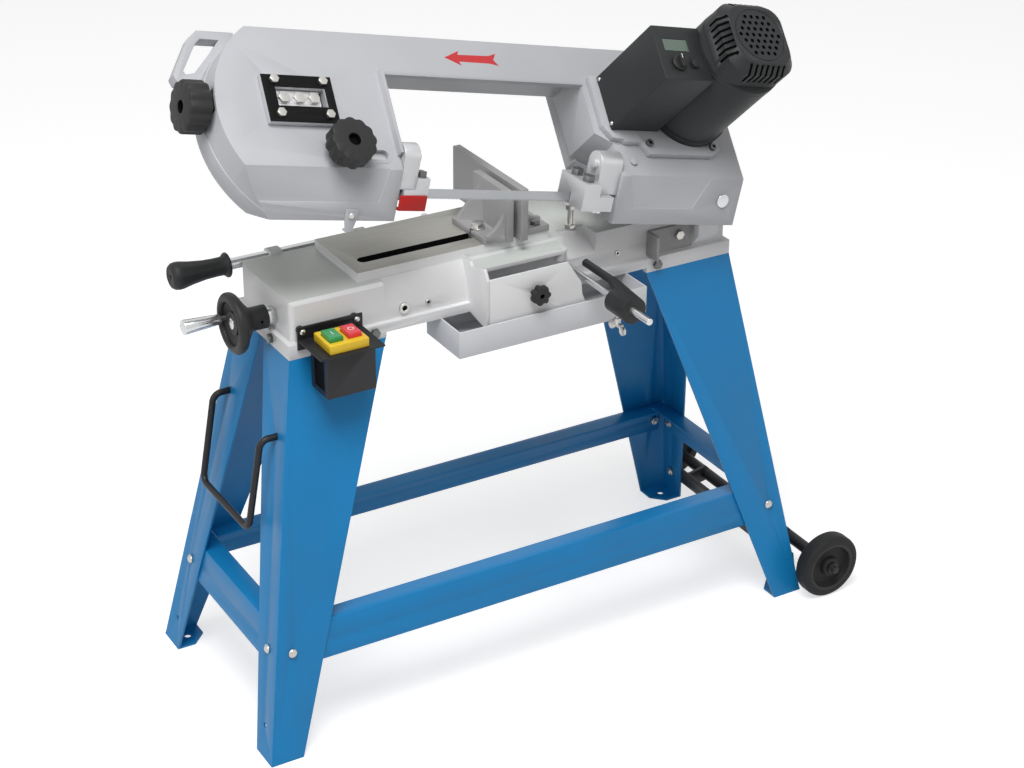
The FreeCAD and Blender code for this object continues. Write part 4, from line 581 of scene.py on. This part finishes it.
# ------------------------------------------------------------------ the motor and its control box
MOTOR = TILTED @ at(-53, 127, 0)
CAP_TOP = 260
CAP_EDGE = 246
CAP_HALF = 59
PITCH = 11.4
motor = dress("motor", "motor", 1.2)
holes = bmesh.new()
for row in range(-3, 4):
    count = 7 - abs(row)
    for k in range(count):
        place = Matrix.Translation(((k - (count - 1) / 2) * PITCH, row * PITCH * 0.866, 0))
        add_prism(holes, ring(3.1, 16), CAP_TOP - 3, CAP_TOP + 2, place)
lathe([(41.2, CAP_TOP - 0.8), (42.4, CAP_TOP - 0.8), (42.4, CAP_TOP + 2), (41.2, CAP_TOP + 2)], 72, holes,
      closed=True)
cut_with(motor, holes, MOTOR)
slots = bmesh.new()
SLOT = [(56, 228), (62, 228), (62, 250), (52, 262), (46.5, 256.3), (56, 244.8)]
for side in range(4):
    c, s = math.cos(side * math.pi / 2), math.sin(side * math.pi / 2)
    for k in range(-3, 4):
        shift = 9.8 * k
        place = Matrix(((c, 0, s, -shift * s), (s, 0, -c, shift * c), (0, 1, 0, 0), (0, 0, 0, 1)))
        add_prism(slots, SLOT, -2.0, 2.0, place)
cut_with(motor, slots, MOTOR)


def vent_shade_faces(p, n):
    """Walls and floors of the vent holes and slots, which are painted near-black as painted shade."""
    if math.hypot(p.x, p.y) < 38.5:
        return CAP_TOP - 4 < p.z < CAP_TOP - 0.05
    reach, across = max(abs(p.x), abs(p.y)), min(abs(p.x), abs(p.y))
    skin = CAP_HALF - max(0.0, p.z - CAP_EDGE) * 12 / 14
    return across < 31.6 and 227 < p.z < CAP_TOP - 1 and reach < skin - 0.9


# vent holes and slots painted near-black: painted shade
paint(motor, "painted_shade", vent_shade_faces, MOTOR)
seam = lathe([(69.3, 204), (69.9, 204.4), (69.9, 205.6), (69.3, 206)], 96, closed=True)
add_detail("motor_seam", seam, MOTOR, "motor", "motor")
# step of the gearbox casting that shows as a light edge beside the control box
step = prism([(-212, 168), (-212, 86), (-199, 66), (-150, 61), (-150, 168)], FACE - 0.3, FACE + 10.6)
add_detail("gearbox_step", step, TILTED, "bow", "gearbox", 1.0)

dress("control_box", "motor", 1.0)
BOX_TOP = 208
add_detail("display", box(-186.6, -144.4, 125.4, 143.6, BOX_TOP - 1.6, BOX_TOP - 0.4), TILTED,
           "glass", "control_box")
for number, v in enumerate((85, 158)):
    screw = lathe([(3.2, 0), (3.2, 1.6), (2.4, 2.6), (0, 3.0)], 24)
    add_detail("box_screw_%d" % number, screw, TILTED @ at(-200, v, 67, "-X"), "zinc", "control_box")

knob = lathe([(11.0, 0.5), (11.35, 1.0), (11.35, 3.4), (10.6, 4.4), (9.6, 5.2), (0, 5.4)], 48)
add_prism(knob, capsule(-7.2, 7.2, 0, 3.0, 6), 5.0, 12.2, Matrix.Rotation(math.pi / 2, 4, "Z"))
place = TILTED @ at(-170, 104, BOX_TOP)
knob_piece = add_mesh("speed_knob_shown", knob, place, "plastic", body_of("speed_knob"))
bevelled(knob_piece, 0.5)
stand_for("speed_knob")
add_detail("speed_pointer", box(-0.6, 0.6, 2.5, 9.5, 12.0, 12.32), place, "ink", "speed_knob")

# ------------------------------------------------------------------ the blade's teeth
BLADE_HALF = 6.5
TOOTH = 4.5
teeth = bmesh.new()
ROOT, TIP = -BLADE_HALF + 0.3, -BLADE_HALF - 2.0
TEETH_FROM, TEETH_TO = -554, -205
for k in range(int((TEETH_TO - TEETH_FROM) / TOOTH)):
    u = TEETH_FROM + k * TOOTH
    add_prism(teeth, [(u, ROOT), (u + TOOTH, ROOT), (u + 0.8, TIP)], -0.45, 0.45,
              Matrix.Rotation(math.pi / 2, 4, "X"))
add_detail("blade_teeth", teeth, UPRIGHT, "blade", "blade")

arrow = prism([(-447, 191), (-421, 203), (-424, 196.5), (-372, 197.5), (-359, 202), (-365, 191.5),
               (-358, 182), (-372, 185), (-424, 185.5), (-421, 179)], FACE - 0.6, FACE + 0.12)
arrow_piece = add_mesh("running_arrow", arrow, TILTED, "arrow", "bow")


# ------------------------------------------------------------------ floor, lights and camera
FLOOR_REACH = 40.0
FLOOR_COLOUR = 0.60
FLOOR_GLOW = 0.62
WORLD_FILL = 0.26


def seen_by_eye(nodes, links):
    """1 for camera, glossy and transmission rays, 0 for the rays that light the object."""
    path = nodes.new("ShaderNodeLightPath")
    result = path.outputs["Is Camera Ray"]
    for ray in ("Is Glossy Ray", "Is Transmission Ray"):
        either = nodes.new("ShaderNodeMath")
        either.operation = "MAXIMUM"
        links.new(result, either.inputs[0])
        links.new(path.outputs[ray], either.inputs[1])
        result = either.outputs[0]
    return result


def make_floor():
    mesh = bpy.data.meshes.new("floor")
    corners = ((-1, -1), (1, -1), (1, 1), (-1, 1))
    mesh.from_pydata([(x * FLOOR_REACH, y * FLOOR_REACH, 0) for x, y in corners], [], [(0, 1, 2, 3)])
    floor = bpy.data.objects.new("floor", mesh)
    bpy.context.scene.collection.objects.link(floor)
    mat = bpy.data.materials.new("floor_white")
    mat.use_nodes = True
    nodes, links = mat.node_tree.nodes, mat.node_tree.links
    shader = nodes["Principled BSDF"]
    shader.inputs["Base Color"].default_value = (FLOOR_COLOUR, FLOOR_COLOUR, FLOOR_COLOUR, 1)
    shader.inputs["Roughness"].default_value = 0.9
    glow = nodes.new("ShaderNodeMath")
    glow.operation = "MULTIPLY"
    glow.inputs[1].default_value = FLOOR_GLOW
    links.new(seen_by_eye(nodes, links), glow.inputs[0])
    shader.inputs["Emission Color"].default_value = (1, 1, 1, 1)
    links.new(glow.outputs[0], shader.inputs["Emission Strength"])
    mesh.materials.append(mat)


def make_world():
    world = bpy.data.worlds.new("studio")
    bpy.context.scene.world = world
    world.use_nodes = True
    nodes, links = world.node_tree.nodes, world.node_tree.links
    back = nodes["Background"]
    back.inputs["Color"].default_value = (1, 1, 1, 1)
    level = nodes.new("ShaderNodeMapRange")
    level.inputs["To Min"].default_value = WORLD_FILL
    level.inputs["To Max"].default_value = 1.0
    links.new(seen_by_eye(nodes, links), level.inputs["Value"])
    links.new(level.outputs["Result"], back.inputs["Strength"])


LIT_POINT = (0, 0, 0.6)


def add_light(name, place, target, size, power):
    lamp = bpy.data.lights.new(name, "AREA")
    lamp.shape = "DISK"
    lamp.size = size
    lamp.energy = power
    obj = bpy.data.objects.new(name, lamp)
    obj.location = place
    obj.rotation_euler = (Vector(target) - Vector(place)).to_track_quat("-Z", "Y").to_euler()
    bpy.context.scene.collection.objects.link(obj)


CAMERA_PLACE = (-1.4953, -2.5760, 1.9732)
CAMERA_TURN = (30.80, 27.59, 0.57)      # yaw, pitch down and roll in degrees
CAMERA_LENS = 76.8
SENSOR_WIDTH = 36.0


def make_camera():
    yaw, pitch, roll = (math.radians(turn) for turn in CAMERA_TURN)
    ahead = Vector((math.sin(yaw) * math.cos(pitch), math.cos(yaw) * math.cos(pitch),
                    -math.sin(pitch)))
    right = Vector((math.cos(yaw), -math.sin(yaw), 0))
    up = right.cross(ahead)
    right, up = (right * math.cos(roll) + up * math.sin(roll),
                 up * math.cos(roll) - right * math.sin(roll))
    data = bpy.data.cameras.new("camera")
    data.lens = CAMERA_LENS
    data.sensor_width = SENSOR_WIDTH
    camera = bpy.data.objects.new("camera", data)
    turned = Matrix((right, up, -ahead)).transposed().to_4x4()
    camera.matrix_world = Matrix.Translation(CAMERA_PLACE) @ turned
    bpy.context.scene.collection.objects.link(camera)
    bpy.context.scene.camera = camera


make_floor()
make_world()
make_camera()
for name, place, size, power in (("key", (-1.1, -1.5, 4.3), 2.4, 150),
                                 ("left", (-3.2, -0.8, 1.8), 2.0, 18),
                                 ("right", (2.6, -2.4, 1.5), 2.0, 6)):
    add_light(name, place, LIT_POINT, size, power)
bpy.context.scene.view_settings.view_transform = "Standard"
